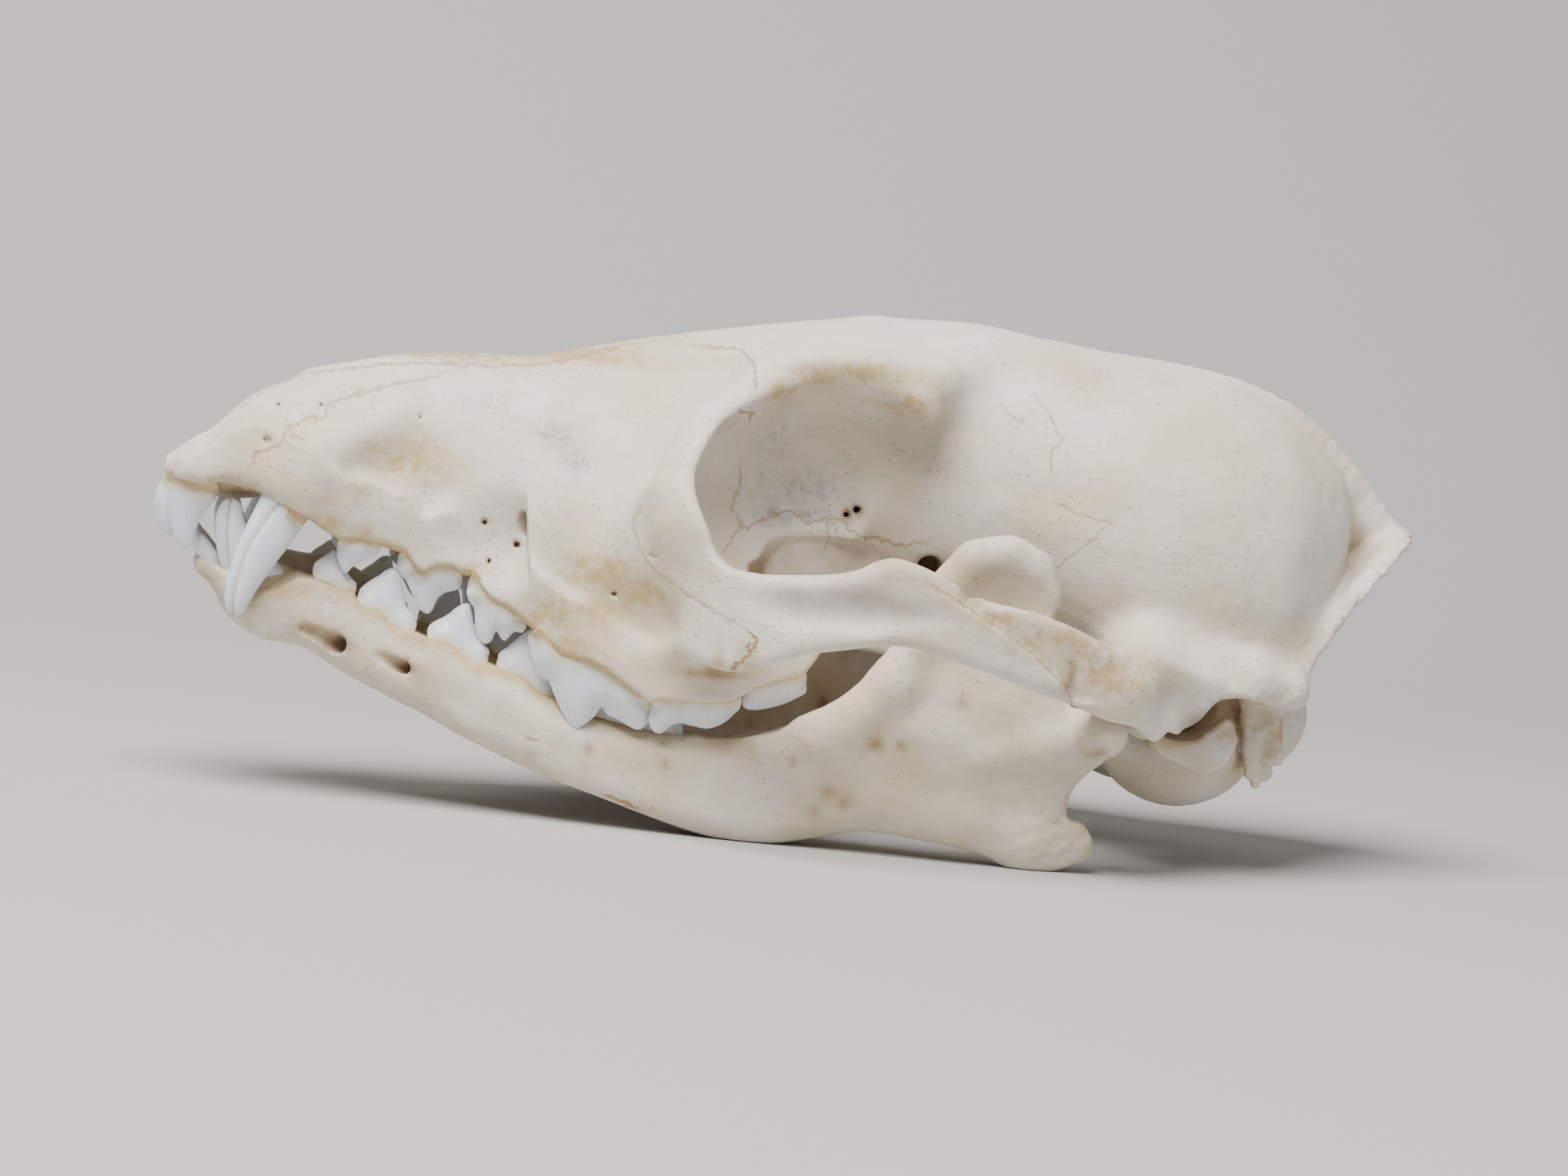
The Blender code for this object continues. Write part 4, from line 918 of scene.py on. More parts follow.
def sampled(form, corners, step):
    """The fields that a form gives at every sample of a block, worked out only near a surface.

    Returns the fields and the place of their first sample. Form takes a block and returns a list of fields.
    """
    low = np.array(corners[0], np.float32)
    size = np.float32(step * CELL)
    counts = np.ceil((np.array(corners[1]) - low) / size).astype(int)
    centres = [low[axis] + (np.arange(counts[axis], dtype=np.float32) + 0.5) * size for axis in range(3)]
    coarse = form((centres[0][:, None, None], centres[1][None, :, None], centres[2][None, None, :]))
    near = np.zeros(tuple(counts), bool)
    for field in coarse:
        near |= np.abs(np.broadcast_to(field, near.shape)) < size * NEAR_CELLS + NEAR_MORE
    wholes = []
    for field in coarse:
        far = (np.sign(field) * FAR)[..., None, None, None]
        wholes.append(np.broadcast_to(far, (*near.shape, CELL, CELL, CELL)).astype(np.float32))
    inner = (np.arange(CELL, dtype=np.float32) + 0.5) * np.float32(step)
    cells = np.argwhere(near)
    chunks = [cells[first:first + CELLS_AT_ONCE] for first in range(0, len(cells), CELLS_AT_ONCE)]

    def refined(some):
        """The form's fields at all the samples of some cells."""
        corner = low + some.astype(np.float32) * size
        x, y, z = (corner[:, axis, None] + inner for axis in range(3))
        return form((x[:, :, None, None], y[:, None, :, None], z[:, None, None, :]))

    with ThreadPoolExecutor(WORKERS) as pool:
        for some, found in zip(chunks, pool.map(refined, chunks)):
            for whole, values in zip(wholes, found):
                whole[some[:, 0], some[:, 1], some[:, 2]] = values
    shape = counts * CELL
    fields = [whole.transpose(0, 3, 1, 4, 2, 5).reshape(shape) for whole in wholes]
    return fields, low + np.float32(step / 2)


def surface_of(field, first, step):
    """The points and quads where a field is zero."""
    grid = openvdb.FloatGrid(background=FAR)
    grid.copyFromArray(np.ascontiguousarray(field, np.float32))
    points, quads = grid.convertToQuads(0.0)
    return points.astype(float) * step + first, quads.astype(np.int64)


def largest_surface(points, quads):
    """The points and quads of the largest closed surface alone."""
    labels = np.arange(len(points))
    while True:
        lowest = labels[quads].min(axis=1)
        spread = labels.copy()
        np.minimum.at(spread, quads.ravel(), np.repeat(lowest, 4))
        spread = spread[spread]
        if np.array_equal(spread, labels):
            break
        labels = spread
    kept = quads[labels[quads[:, 0]] == np.bincount(labels).argmax()]
    used, renumbered = np.unique(kept, return_inverse=True)
    return points[used], renumbered.reshape(kept.shape)


def mesh_of(name, points, faces):
    """A mesh in Blender's metres, its faces turned outwards. All faces have the same number of corners."""
    triangles = np.concatenate([faces[:, (0, n, n + 1)] for n in range(1, faces.shape[1] - 1)])
    a, b, c = (points[triangles[:, n]] for n in range(3))
    if np.sum(a * np.cross(b, c)) < 0:
        faces = faces[:, ::-1]
    mesh = bpy.data.meshes.new(name)
    mesh.vertices.add(len(points))
    mesh.vertices.foreach_set("co", placed(points).astype(np.float32).ravel())
    mesh.loops.add(faces.size)
    mesh.loops.foreach_set("vertex_index", faces.astype(np.int32).ravel())
    mesh.polygons.add(len(faces))
    mesh.polygons.foreach_set("loop_start", np.arange(0, faces.size, faces.shape[1], dtype=np.int32))
    mesh.update(calc_edges=True)
    mesh.validate()
    return mesh


def placed(points):
    """Points in the finished object's metres, from points in millimetres."""
    return (points - (MIDDLE_X, 0.0, 0.0)) * MM


def points_of(mesh):
    """A mesh's points in millimetres, and its normals."""
    places = np.empty(len(mesh.vertices) * 3, np.float32)
    normals = np.empty(len(mesh.vertices) * 3, np.float32)
    mesh.vertices.foreach_get("co", places)
    mesh.vertex_normals.foreach_get("vector", normals)
    return places.reshape(-1, 3) / MM + np.float32((MIDDLE_X, 0.0, 0.0)), normals.reshape(-1, 3)


def moved(mesh, points):
    """Puts a mesh's points elsewhere."""
    mesh.vertices.foreach_set("co", placed(points).astype(np.float32).ravel())
    mesh.update()


def new_piece(name, mesh, finish):
    """An object that rides on the skull's body, with its finish."""
    mesh.name = name
    mesh.materials.append(finish)
    mesh.shade_smooth()
    piece = bpy.data.objects.new(name, mesh)
    bpy.context.scene.collection.objects.link(piece)
    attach(piece, "root")
    return piece


def evaluated_mesh(shape):
    """The mesh that an object's modifiers give. The object is removed."""
    graph = bpy.context.evaluated_depsgraph_get()
    mesh = bpy.data.meshes.new_from_object(shape.evaluated_get(graph))
    bpy.data.objects.remove(shape)
    return mesh


def thinned(mesh, most):
    """The mesh as at most that many triangles, with flat places thinned first."""
    shape = bpy.data.objects.new("thinning", mesh)
    bpy.context.scene.collection.objects.link(shape)
    cut = shape.modifiers.new("triangles", "TRIANGULATE")
    cut.quad_method = "SHORTEST_DIAGONAL"
    triangles = 2 * len(mesh.polygons)
    if triangles > most:
        thin = shape.modifiers.new("thin", "DECIMATE")
        thin.ratio = most / triangles
    return evaluated_mesh(shape)


def store(mesh, name, values):
    """Keeps one number for each vertex."""
    mesh.attributes.new(name, "FLOAT", "POINT").data.foreach_set("value", values.astype(np.float32))


# Bones

# Where the cheek bone and the face bones part from the rest, as (x, z), and how far out the cheek bone
# starts, as (x, y).
CHEEK_SEAM = (
    (66.3, 44.5), (60.8, 42.3), (60.5, 41.0), (59.9, 39.7), (59.9, 38.6), (60.4, 37.2), (61.2, 35.6),
    (62.1, 34.2), (63.6, 33.1), (65.1, 32.2), (66.7, 31.1), (68.9, 30.0), (70.6, 29.3), (72.1, 28.6),
    (73.6, 28.0), (74.7, 27.0), (74.7, 25.8), (73.7, 24.5), (72.7, 23.4), (72.3, 22.8),
)
CHEEK_OUTLINE = np.array((
    (72.0, 45.0), *CHEEK_SEAM, (73.0, 14.0), (116.0, 14.0), *reversed(ARCH_SEAM), (90.0, 50.0),
))
CHEEK_DEPTH = ((60.0, 18.0), (66.0, 23.0), (72.0, 27.0), (80.0, 30.0))
FACE_OUTLINE = np.array((
    (-5.0, 80.0), (71.0, 80.0), (71.2, 62.1), (74.8, 60.4), (75.0, 59.0), (73.5, 55.5), (70.2, 52.2),
    (66.4, 48.9), (66.1, 47.3), (66.5, 44.8), (70.0, 44.6), (74.0, 41.7), (79.5, 41.3), (87.0, 40.2),
    (89.6, 36.0), (90.0, 0.0), (-5.0, 0.0),
))


def skull_bones(block):
    """The fields of the cranium, the muzzle and the right cheek bone."""
    x, y, z = block
    whole = skull_form(block)
    depth_x, depth_y = np.array(CHEEK_DEPTH).T
    too_deep = np.interp(x, depth_x, depth_y).astype(np.float32) - y
    cheek = np.maximum(outline_distance(x, z, CHEEK_OUTLINE), too_deep)
    face = outline_distance(x, z, FACE_OUTLINE)
    jugal = overlap_of(whole, cheek - SUTURE_LAP, SUTURE_EDGE)
    rest = overlap_of(whole, -cheek - SUTURE_LAP, SUTURE_EDGE)
    muzzle = overlap_of(rest, face - SUTURE_LAP, SUTURE_EDGE)
    cranium = overlap_of(rest, -face - SUTURE_LAP, SUTURE_EDGE)
    return cranium, muzzle, jugal


def jaw_bones(block):
    """The fields of the right and the left half of the lower jaw, both laid out on the right.

    They are cut at the chin and worn flat where they rest. The right one's edge is higher behind the fang,
    and the left one has the empty sockets.
    """
    half = overlap_of(jaw_form(block), -block[1] - SUTURE_LAP, SUTURE_EDGE)
    left = overlap_of(half, -block[2], 0.15)
    high_edge = bar(block, ((13.0, 6.8, 27.0), (18.0, 8.0, 28.2), (24.0, 9.0, 28.2), (31.0, 9.8, 25.6)),
                    (1.4, 1.8, 1.6, 1.0))
    right = join(left, high_edge, 2.0)
    for socket in EMPTY_SOCKETS:
        left = carve(left, empty_socket(block, *socket), 0.35)
    return right, left


def bone_mesh(name, field, first, step, most):
    """A bone's mesh from its field, without loose scraps and thinned."""
    points, quads = largest_surface(*surface_of(field, first, step))
    return thinned(mesh_of(name, points, quads), most)


def both_halves(field, first, step):
    """A field over both halves of the head, and the place of its first sample.

    The field given is the right half's, whose first samples lie half a step from the middle.
    """
    whole = np.concatenate((field[:, ::-1, :], field), axis=1)
    start = np.array(first)
    start[1] = -(field.shape[1] - 0.5) * step
    return whole, start


def flipped(mesh):
    """A copy of a mesh for the other side of the head."""
    points, _ = points_of(mesh)
    corners = np.empty(len(mesh.loops), np.int32)
    mesh.loops.foreach_get("vertex_index", corners)
    return mesh_of(mesh.name, points.astype(float) * (1, -1, 1), corners.reshape(-1, 3))


def line_distance(x, z, points):
    """Distance in XZ from an open line, signed for its side, and how far along it, from 0 to 1."""
    nearest = np.full(x.shape, np.inf, np.float32)
    side = np.ones(x.shape, np.float32)
    along = np.zeros(x.shape, np.float32)
    count = len(points) - 1
    for index, ((x0, z0), (x1, z1)) in enumerate(zip(points, points[1:])):
        run_x, run_z = x1 - x0, z1 - z0
        t = np.clip(((x - x0) * run_x + (z - z0) * run_z) / (run_x**2 + run_z**2), 0, 1)
        away = np.hypot(x - x0 - run_x * t, z - z0 - run_z * t)
        closer = away < nearest
        nearest = np.where(closer, away, nearest)
        side = np.where(closer, np.sign(run_x * (z - z0) - run_z * (x - x0)), side)
        along = np.where(closer, (index + t) / count, along)
    return nearest * side, along


# Sutures and cracks, seen from the side: from which to which distance from the middle plane, how dark,
# and the line as (x, z).
SKULL_SUTURES = (
    ((3.0, 20.0), 0.45, ((37.7, 56.3), (34.9, 54.8), (28.6, 53.1), (24.2, 51.5), (21.1, 50.1),
                         (20.8, 48.3), (19.0, 48.5), (16.7, 47.1), (15.7, 45.9), (15.3, 44.6),
                         (13.1, 43.6), (12.2, 42.7), (11.6, 40.7))),
    ((3.0, 20.0), 0.4, ((16.6, 46.1), (18.6, 45.6))),
    ((3.0, 20.0), 0.35, ((16.1, 43.2), (17.4, 42.8))),
    ((3.0, 20.0), 0.3, ((15.2, 41.5), (16.4, 41.1))),
    ((2.0, 20.0), 0.5, ((17.6, 53.5), (22.4, 54.6), (30.3, 56.1), (37.2, 56.6), (42.4, 56.7),
                        (48.2, 57.5), (53.2, 58.8), (56.5, 60.2), (65.3, 62.6))),
    ((3.0, 20.0), 0.55, ((65.3, 61.6), (71.7, 61.8), (73.1, 61.8), (74.2, 60.6), (74.3, 57.9),
                         (73.9, 55.8), (72.4, 54.1), (68.0, 50.5), (65.6, 48.6), (66.0, 47.3),
                         (66.0, 45.9), (66.1, 44.3))),
    ((3.0, 30.0), 0.6, ((72.1, 54.2), (74.4, 53.9), (74.3, 53.0))),
    ((14.0, 50.0), 0.3, CHEEK_SEAM[1:15]),
    ((14.0, 50.0), 0.9, CHEEK_SEAM[14:]),
    ((30.0, 50.0), 0.5, ARCH_SEAM),
    ((5.0, 27.0), 0.4, ((73.8, 48.1), (74.5, 44.9), (73.5, 41.7), (74.8, 39.1), (73.1, 37.0),
                        (72.1, 35.5))),
    ((5.0, 27.0), 0.45, ((73.9, 41.5), (74.8, 39.8), (75.9, 39.0), (77.2, 40.0), (78.7, 40.5),
                         (81.3, 41.6), (82.9, 40.9), (84.4, 40.1), (85.9, 40.9), (88.2, 41.0),
                         (89.2, 39.8), (91.0, 39.1), (92.6, 39.0), (94.5, 38.9), (96.2, 38.2),
                         (98.0, 39.0), (99.7, 38.8))),
    ((5.0, 27.0), 0.4, ((86.6, 40.8), (86.4, 39.4), (87.0, 38.6), (86.4, 36.0))),
    ((8.0, 30.0), 0.3, ((113.0, 46.3), (115.4, 45.3), (117.7, 44.8), (120.6, 44.2), (118.8, 42.2),
                        (116.9, 40.0), (114.0, 37.0), (114.0, 31.9))),
    ((3.0, 30.0), 0.35, ((110.7, 59.7), (112.3, 57.5), (114.2, 53.9), (112.8, 52.2), (113.3, 49.0))),
    ((3.0, 30.0), 0.3, ((106.5, 57.8), (109.5, 55.4))),
)
JAW_CRACKS = (
    ((3.0, 40.0), 0.8, ((59.3, 4.4), (61.8, 3.6), (64.2, 2.9))),
    ((3.0, 40.0), 0.5, ((49.1, 10.5), (50.8, 10.2))),
)

# How far from a suture a vertex knows it and shows it, how strongly the suture shows at its very ends, and
# the part of its length, one in so many, over which it grows to its full strength.
SUTURE_KNOWN = 9.0
SUTURE_SHOWN = 2.0
SUTURE_END = 0.15
SUTURE_GROWTH = 12

# Stains, seen from the side: (x, z, radius along x, radius along z, strength, least y where they start). The
# brown tables are partly real brown stains and partly painted shade, dark brown put inside openings and
# small holes.
SKULL_AMBER = (
    (21.5, 35.3, 3.0, 1.4, 0.9, 5), (10.0, 38.6, 4.0, 1.6, 0.8, 0), (26.0, 34.6, 4.0, 1.2, 0.7, 5),
    (30.5, 33.2, 2.5, 0.9, 0.6, 5), (40.5, 30.8, 1.8, 1.2, 0.7, 8), (49.0, 25.6, 1.6, 2.2, 0.9, 12),
    (53.0, 22.8, 3.4, 1.5, 1.0, 15), (50.7, 27.0, 4.0, 4.0, 0.8, 12), (56.5, 32.4, 4.6, 2.4, 1.1, 12),
    (61.0, 30.6, 4.6, 2.2, 0.9, 12), (57.5, 27.6, 5.0, 2.8, 0.8, 12), (43.6, 31.2, 1.6, 0.9, 0.6, 8),
    (46.8, 31.4, 1.0, 1.4, 0.5, 8), (31.4, 44.0, 6.2, 3.8, 0.8, 5), (34.6, 42.0, 5.0, 2.4, 0.4, 5),
    (26.0, 40.0, 6.0, 2.6, 0.4, 5), (22.0, 38.6, 2.6, 1.6, 0.45, 5), (71.0, 21.4, 4.4, 0.8, 1.0, 18),
    (70.6, 23.8, 0.9, 1.2, 0.6, 18), (73.6, 24.6, 1.2, 2.0, 0.7, 18), (112.0, 29.8, 8.0, 2.6, 0.9, 28),
    (104.0, 32.4, 5.0, 1.2, 0.9, 34), (119.0, 26.4, 7.0, 3.2, 0.9, 24),
    (99.0, 34.2, 3.0, 1.0, 0.8, 34), (88.0, 60.6, 5.0, 1.5, 1.0, 12), (94.5, 57.2, 2.6, 1.8, 0.9, 14),
    (82.0, 59.6, 4.0, 1.4, 0.9, 12), (77.6, 57.4, 2.4, 1.8, 0.8, 12), (92.5, 59.8, 3.6, 1.8, 0.8, 12),
    (48.0, 59.2, 14.0, 1.1, 1.2, 0), (34.0, 57.8, 10.0, 0.9, 1.0, 0), (70.6, 52.6, 1.6, 1.6, 0.4, 12),
    (70.0, 34.8, 4.0, 1.2, 0.3, 18), (90.0, 38.2, 3.0, 1.0, 0.3, 30), (166.0, 44.0, 2.4, 1.8, 0.5, 0),
    (154.6, 26.6, 1.0, 1.4, 0.9, 0), (139.0, 18.2, 0.9, 1.2, 0.8, 14),
    (131.0, 16.6, 2.0, 0.7, 0.6, 14), (145.0, 17.0, 1.0, 2.6, 1.0, 14),
    (146.4, 19.0, 0.8, 2.0, 0.8, 14), (139.8, 20.6, 1.2, 1.4, 0.7, 14),
    (128.6, 24.8, 1.4, 0.7, 0.5, 20), (140.0, 30.8, 1.4, 0.8, 0.6, 14),
    (107.0, 34.0, 10.0, 2.6, 0.25, 0), (128.0, 62.6, 3.0, 1.6, 0.35, 2), (118.0, 62.0, 6.0, 2.0, 0.25, 2),
)
SKULL_GREY = (
    (50.2, 48.9, 2.8, 1.8, 1.3, 5), (52.8, 46.2, 1.8, 3.0, 1.2, 5), (51.2, 42.6, 1.2, 0.8, 0.6, 5),
    (82.0, 44.6, 6.0, 3.4, 0.8, 3), (79.6, 40.8, 2.8, 1.4, 1.3, 3), (84.6, 41.4, 3.0, 0.9, 1.3, 3),
    (78.2, 51.0, 4.6, 4.4, 0.6, 3), (40.0, 52.0, 3.0, 1.4, 0.25, 5),
)
# Brown stains, and painted shade: dark brown inside the ear's opening, the small holes in the skull's side
# and the recess under the eye.
SKULL_BROWN_AND_HOLE_SHADE = (
    (88.9, 41.7, 0.8, 0.8, 1.0, 0), (90.1, 42.5, 0.9, 0.9, 1.0, 0), (100.2, 36.0, 2.0, 1.4, 1.0, 0),
    (133.4, 19.6, 3.0, 2.0, 1.0, 10), (136.6, 21.6, 2.4, 1.2, 0.7, 10), (42.1, 37.1, 0.5, 0.5, 1.0, 8),
    (46.4, 34.6, 0.5, 0.5, 1.0, 8), (43.0, 32.2, 0.4, 0.4, 0.8, 8), (72.0, 21.2, 3.0, 0.5, 0.7, 18),
    (113.4, 24.6, 1.2, 0.8, 0.9, 24), (88.0, 34.6, 9.0, 3.6, 0.35, 0), (11.0, 37.9, 2.0, 0.7, 0.6, 0),
)
# Brown stains, and painted shade: dark brown inside the jaw's slanting nerve holes and small holes.
JAW_BROWN_AND_HOLE_SHADE = (
    (92.7, 14.1, 1.0, 1.0, 0.7, 5), (95.6, 14.3, 0.8, 0.8, 0.6, 5), (102.7, 20.3, 0.9, 0.9, 0.5, 5),
    (87.3, 7.5, 1.0, 0.8, 0.5, 5), (89.3, 6.2, 0.8, 0.8, 0.5, 5), (85.7, 4.9, 0.9, 0.9, 0.5, 5),
    (82.4, 11.0, 0.7, 0.7, 0.4, 5), (66.7, 8.9, 0.8, 0.8, 0.5, 5), (57.1, 10.0, 0.7, 0.7, 0.5, 5),
    (50.1, 8.5, 0.8, 0.8, 0.5, 5), (56.8, 7.4, 0.7, 0.7, 0.4, 5), (119.0, 16.1, 1.2, 1.2, 0.6, 20),
    (24.8, 20.1, 2.0, 1.0, 1.2, 3), (33.6, 17.8, 1.6, 0.7, 1.1, 3),
)
JAW_AMBER = (
    (22.0, 21.6, 3.4, 1.6, 0.7, 3), (31.5, 19.0, 2.6, 1.1, 0.5, 3), (7.6, 26.4, 1.6, 1.8, 0.7, 0),
    (17.6, 26.2, 4.0, 1.2, 0.8, 3), (26.0, 25.8, 3.0, 1.2, 0.6, 3), (34.6, 21.6, 2.4, 1.0, 0.6, 3),
    (44.4, 18.4, 2.2, 1.0, 0.6, 3), (76.0, 11.6, 5.0, 1.4, 0.5, 5), (84.0, 13.0, 3.0, 1.4, 0.4, 5),
    (92.0, 15.0, 1.6, 2.6, 0.45, 5), (88.0, 7.0, 3.0, 1.4, 0.4, 5), (99.6, 34.0, 1.8, 3.6, 0.35, 20),
)
SKULL_STAINS_AND_SHADE = {"amber": SKULL_AMBER, "brown": SKULL_BROWN_AND_HOLE_SHADE, "grey": SKULL_GREY}
JAW_STAINS_AND_SHADE = {"amber": JAW_AMBER, "brown": JAW_BROWN_AND_HOLE_SHADE, "grey": ()}


def spots(points, table):
    """How strongly a table's spots mark each point: 0 where it is clean, and the spot's strength at its
    middle. The marks are stains, and in the brown tables partly painted shade.
    """
    x, y, z = points.T
    whole = np.zeros(len(points), np.float32)
    for x_at, z_at, reach_x, reach_z, strength, side_from in table:
        away = ((x - x_at) / reach_x) ** 2 + ((z - z_at) / reach_z) ** 2
        whole = np.maximum(whole, strength * np.exp(-away) * (np.abs(y) > side_from))
    return whole


def store_sutures(mesh, points, sutures):
    """Keeps the signed distance from the nearest suture, and how strongly it shows."""
    x, y, z = points.T
    nearest = np.full(len(points), SUTURE_KNOWN, np.float32)
    shown = np.zeros(len(points), np.float32)
    for (low, high), strength, line in sutures:
        away, along = line_distance(x, z, line)
        reach = np.abs(away)
        there = (np.abs(y) > low) & (np.abs(y) < high) & (reach < np.abs(nearest))
        ends = np.clip(np.minimum(along, 1 - along) * SUTURE_GROWTH + SUTURE_END, 0, 1)
        nearest = np.where(there, away, nearest)
        shown = np.where(there, strength * ends * np.clip(SUTURE_SHOWN - reach, 0, 1), shown)
    store(mesh, "suture", nearest)
    store(mesh, "suture_shown", shown)


def swell(points, size, seed):
    """A smooth random value at each point, from -1 to 1, whose bumps are about that far apart."""
    dice = np.random.default_rng(seed)
    value = np.zeros(len(points), np.float32)
    count = 9
    for _ in range(count):
        direction = dice.normal(size=3)
        direction *= 2 * math.pi / size / np.linalg.norm(direction) * dice.uniform(0.7, 1.4)
        value += np.sin(points @ direction.astype(np.float32) + np.float32(dice.uniform(0, 2 * math.pi)))
    return value / math.sqrt(count * 2)


# Where along X the gums are amber, over how much of that it sets in and fades, and how far it reaches.
GUM_FRONT = 20.0
GUM_REAR = 66.0
GUM_SETS_IN = 4.0
GUM_FADES = 10.0
GUM_REACH = 1.3


def near_edge(points, edge):
    """How close each point lies to the edge where the cheek teeth come out, from 0 to 1."""
    x, _, z = points.T
    away = np.abs(z - np.interp(x, *edge))
    ends = np.clip((x - GUM_FRONT) / GUM_SETS_IN, 0, 1) * np.clip((GUM_REAR - x) / GUM_FADES, 0, 1)
    return np.clip(1 - away / GUM_REACH, 0, 1) * ends


# Places where the bone is rough, as (x, z, radius), and the least y of those by the ear.
ROUGH_EAR = (142.0, 20.0, 9.0)
ROUGH_SPUR = (144.5, 13.5, 4.0)
ROUGH_HOOK = (117.0, 3.0, 9.0)
ROUGH_CHIN = (14.0, 24.0, 8.0)
EAR_SIDE = 14


def closeness(x, z, place):
    """How close a point lies to a place, seen from the side: 1 at its middle, 0 from its radius outwards."""
    x_at, z_at, radius = place
    return np.clip(1 - np.hypot(x - x_at, z - z_at) / radius, 0, 1)


def rough_skull(points):
    """How rough each point of the skull is, from 0 to 1: the rear crest, the ear and the spur behind it."""
    x, y, z = points.T
    y = np.abs(y)
    crest = np.clip(1.4 - np.abs(x - crest_face(y, z) + 0.5) / 2.4, 0, 1) * np.clip((z - 24) / 6, 0, 1)
    crest = crest * np.clip((56.0 - z) / 6, 0, 1)
    ear = closeness(x, z, ROUGH_EAR) * (y > EAR_SIDE)
    spur = closeness(x, z, ROUGH_SPUR) * (y > EAR_SIDE)
    return np.maximum(np.maximum(crest, ear), spur)


def rough_jaw(points):
    """How rough each point of the jaw is, from 0 to 1: the rear hook and, half as much, the chin."""
    x, _, z = points.T
    return np.maximum(closeness(x, z, ROUGH_HOOK), closeness(x, z, ROUGH_CHIN) * 0.5)


# How uneven bone is everywhere, and how much more so where it is rough: (height, bump size, seed).
FINE_SWELLS = ((0.09, 9.0, 1), (0.03, 2.6, 2))
ROUGH_SWELLS = ((0.24, 3.1, 3), (0.2, 1.5, 4))

# Up to this height the bone stays even, so that it rests flat, and over that much more the bumps set in.
EVEN_FOOT = 0.3
EVEN_FADE = 2.0

# How deep in the whole skull or jaw a vertex must lie to be one of the walls where its pieces part.
CUT_WALL = 0.25

# How far out from a vertex the air must be open for it to lie in no narrow cavity, and in no wide hollow.
# Both measures darken the bone's colour as painted shade, the narrow one partly as real dust too.
CAVITY_REACHES = {"cavity": 1.3, "hollow": 6.0}


def unevenness(points, swells):
    """The height of the bumps at each point."""
    return sum(height * swell(points, size, seed) for height, size, seed in swells)


def depth_in(form, points):
    """A form's values at points on either side of the head."""
    x, y, z = points.T
    return form((x, np.abs(y), z))


def finish_bone(mesh, form, roughness, edge, sutures, stains_and_shade):
    """Roughens a bone's mesh and keeps what its finish reads at each vertex."""
    points, normals = points_of(mesh)
    rough = roughness(points)
    push = unevenness(points, FINE_SWELLS) + rough * unevenness(points, ROUGH_SWELLS)
    push *= np.clip((points[:, 2] - EVEN_FOOT) / EVEN_FADE, 0, 1)
    points = points + normals * push[:, None]
    moved(mesh, points)
    outer = depth_in(form, points) > -CUT_WALL
    # How deep each vertex lies in a crevice and in a hollow, which the finish darkens as painted shade.
    for name, reach in CAVITY_REACHES.items():
        open_air = depth_in(form, points + normals * reach)
        store(mesh, name, np.clip(1 - open_air / reach, 0, 1) * outer)
    store(mesh, "gum", near_edge(points, edge))
    store(mesh, "rough", rough)
    for name, table in stains_and_shade.items():
        store(mesh, name, spots(points, table))
    store_sutures(mesh, points, sutures)


# Finishes

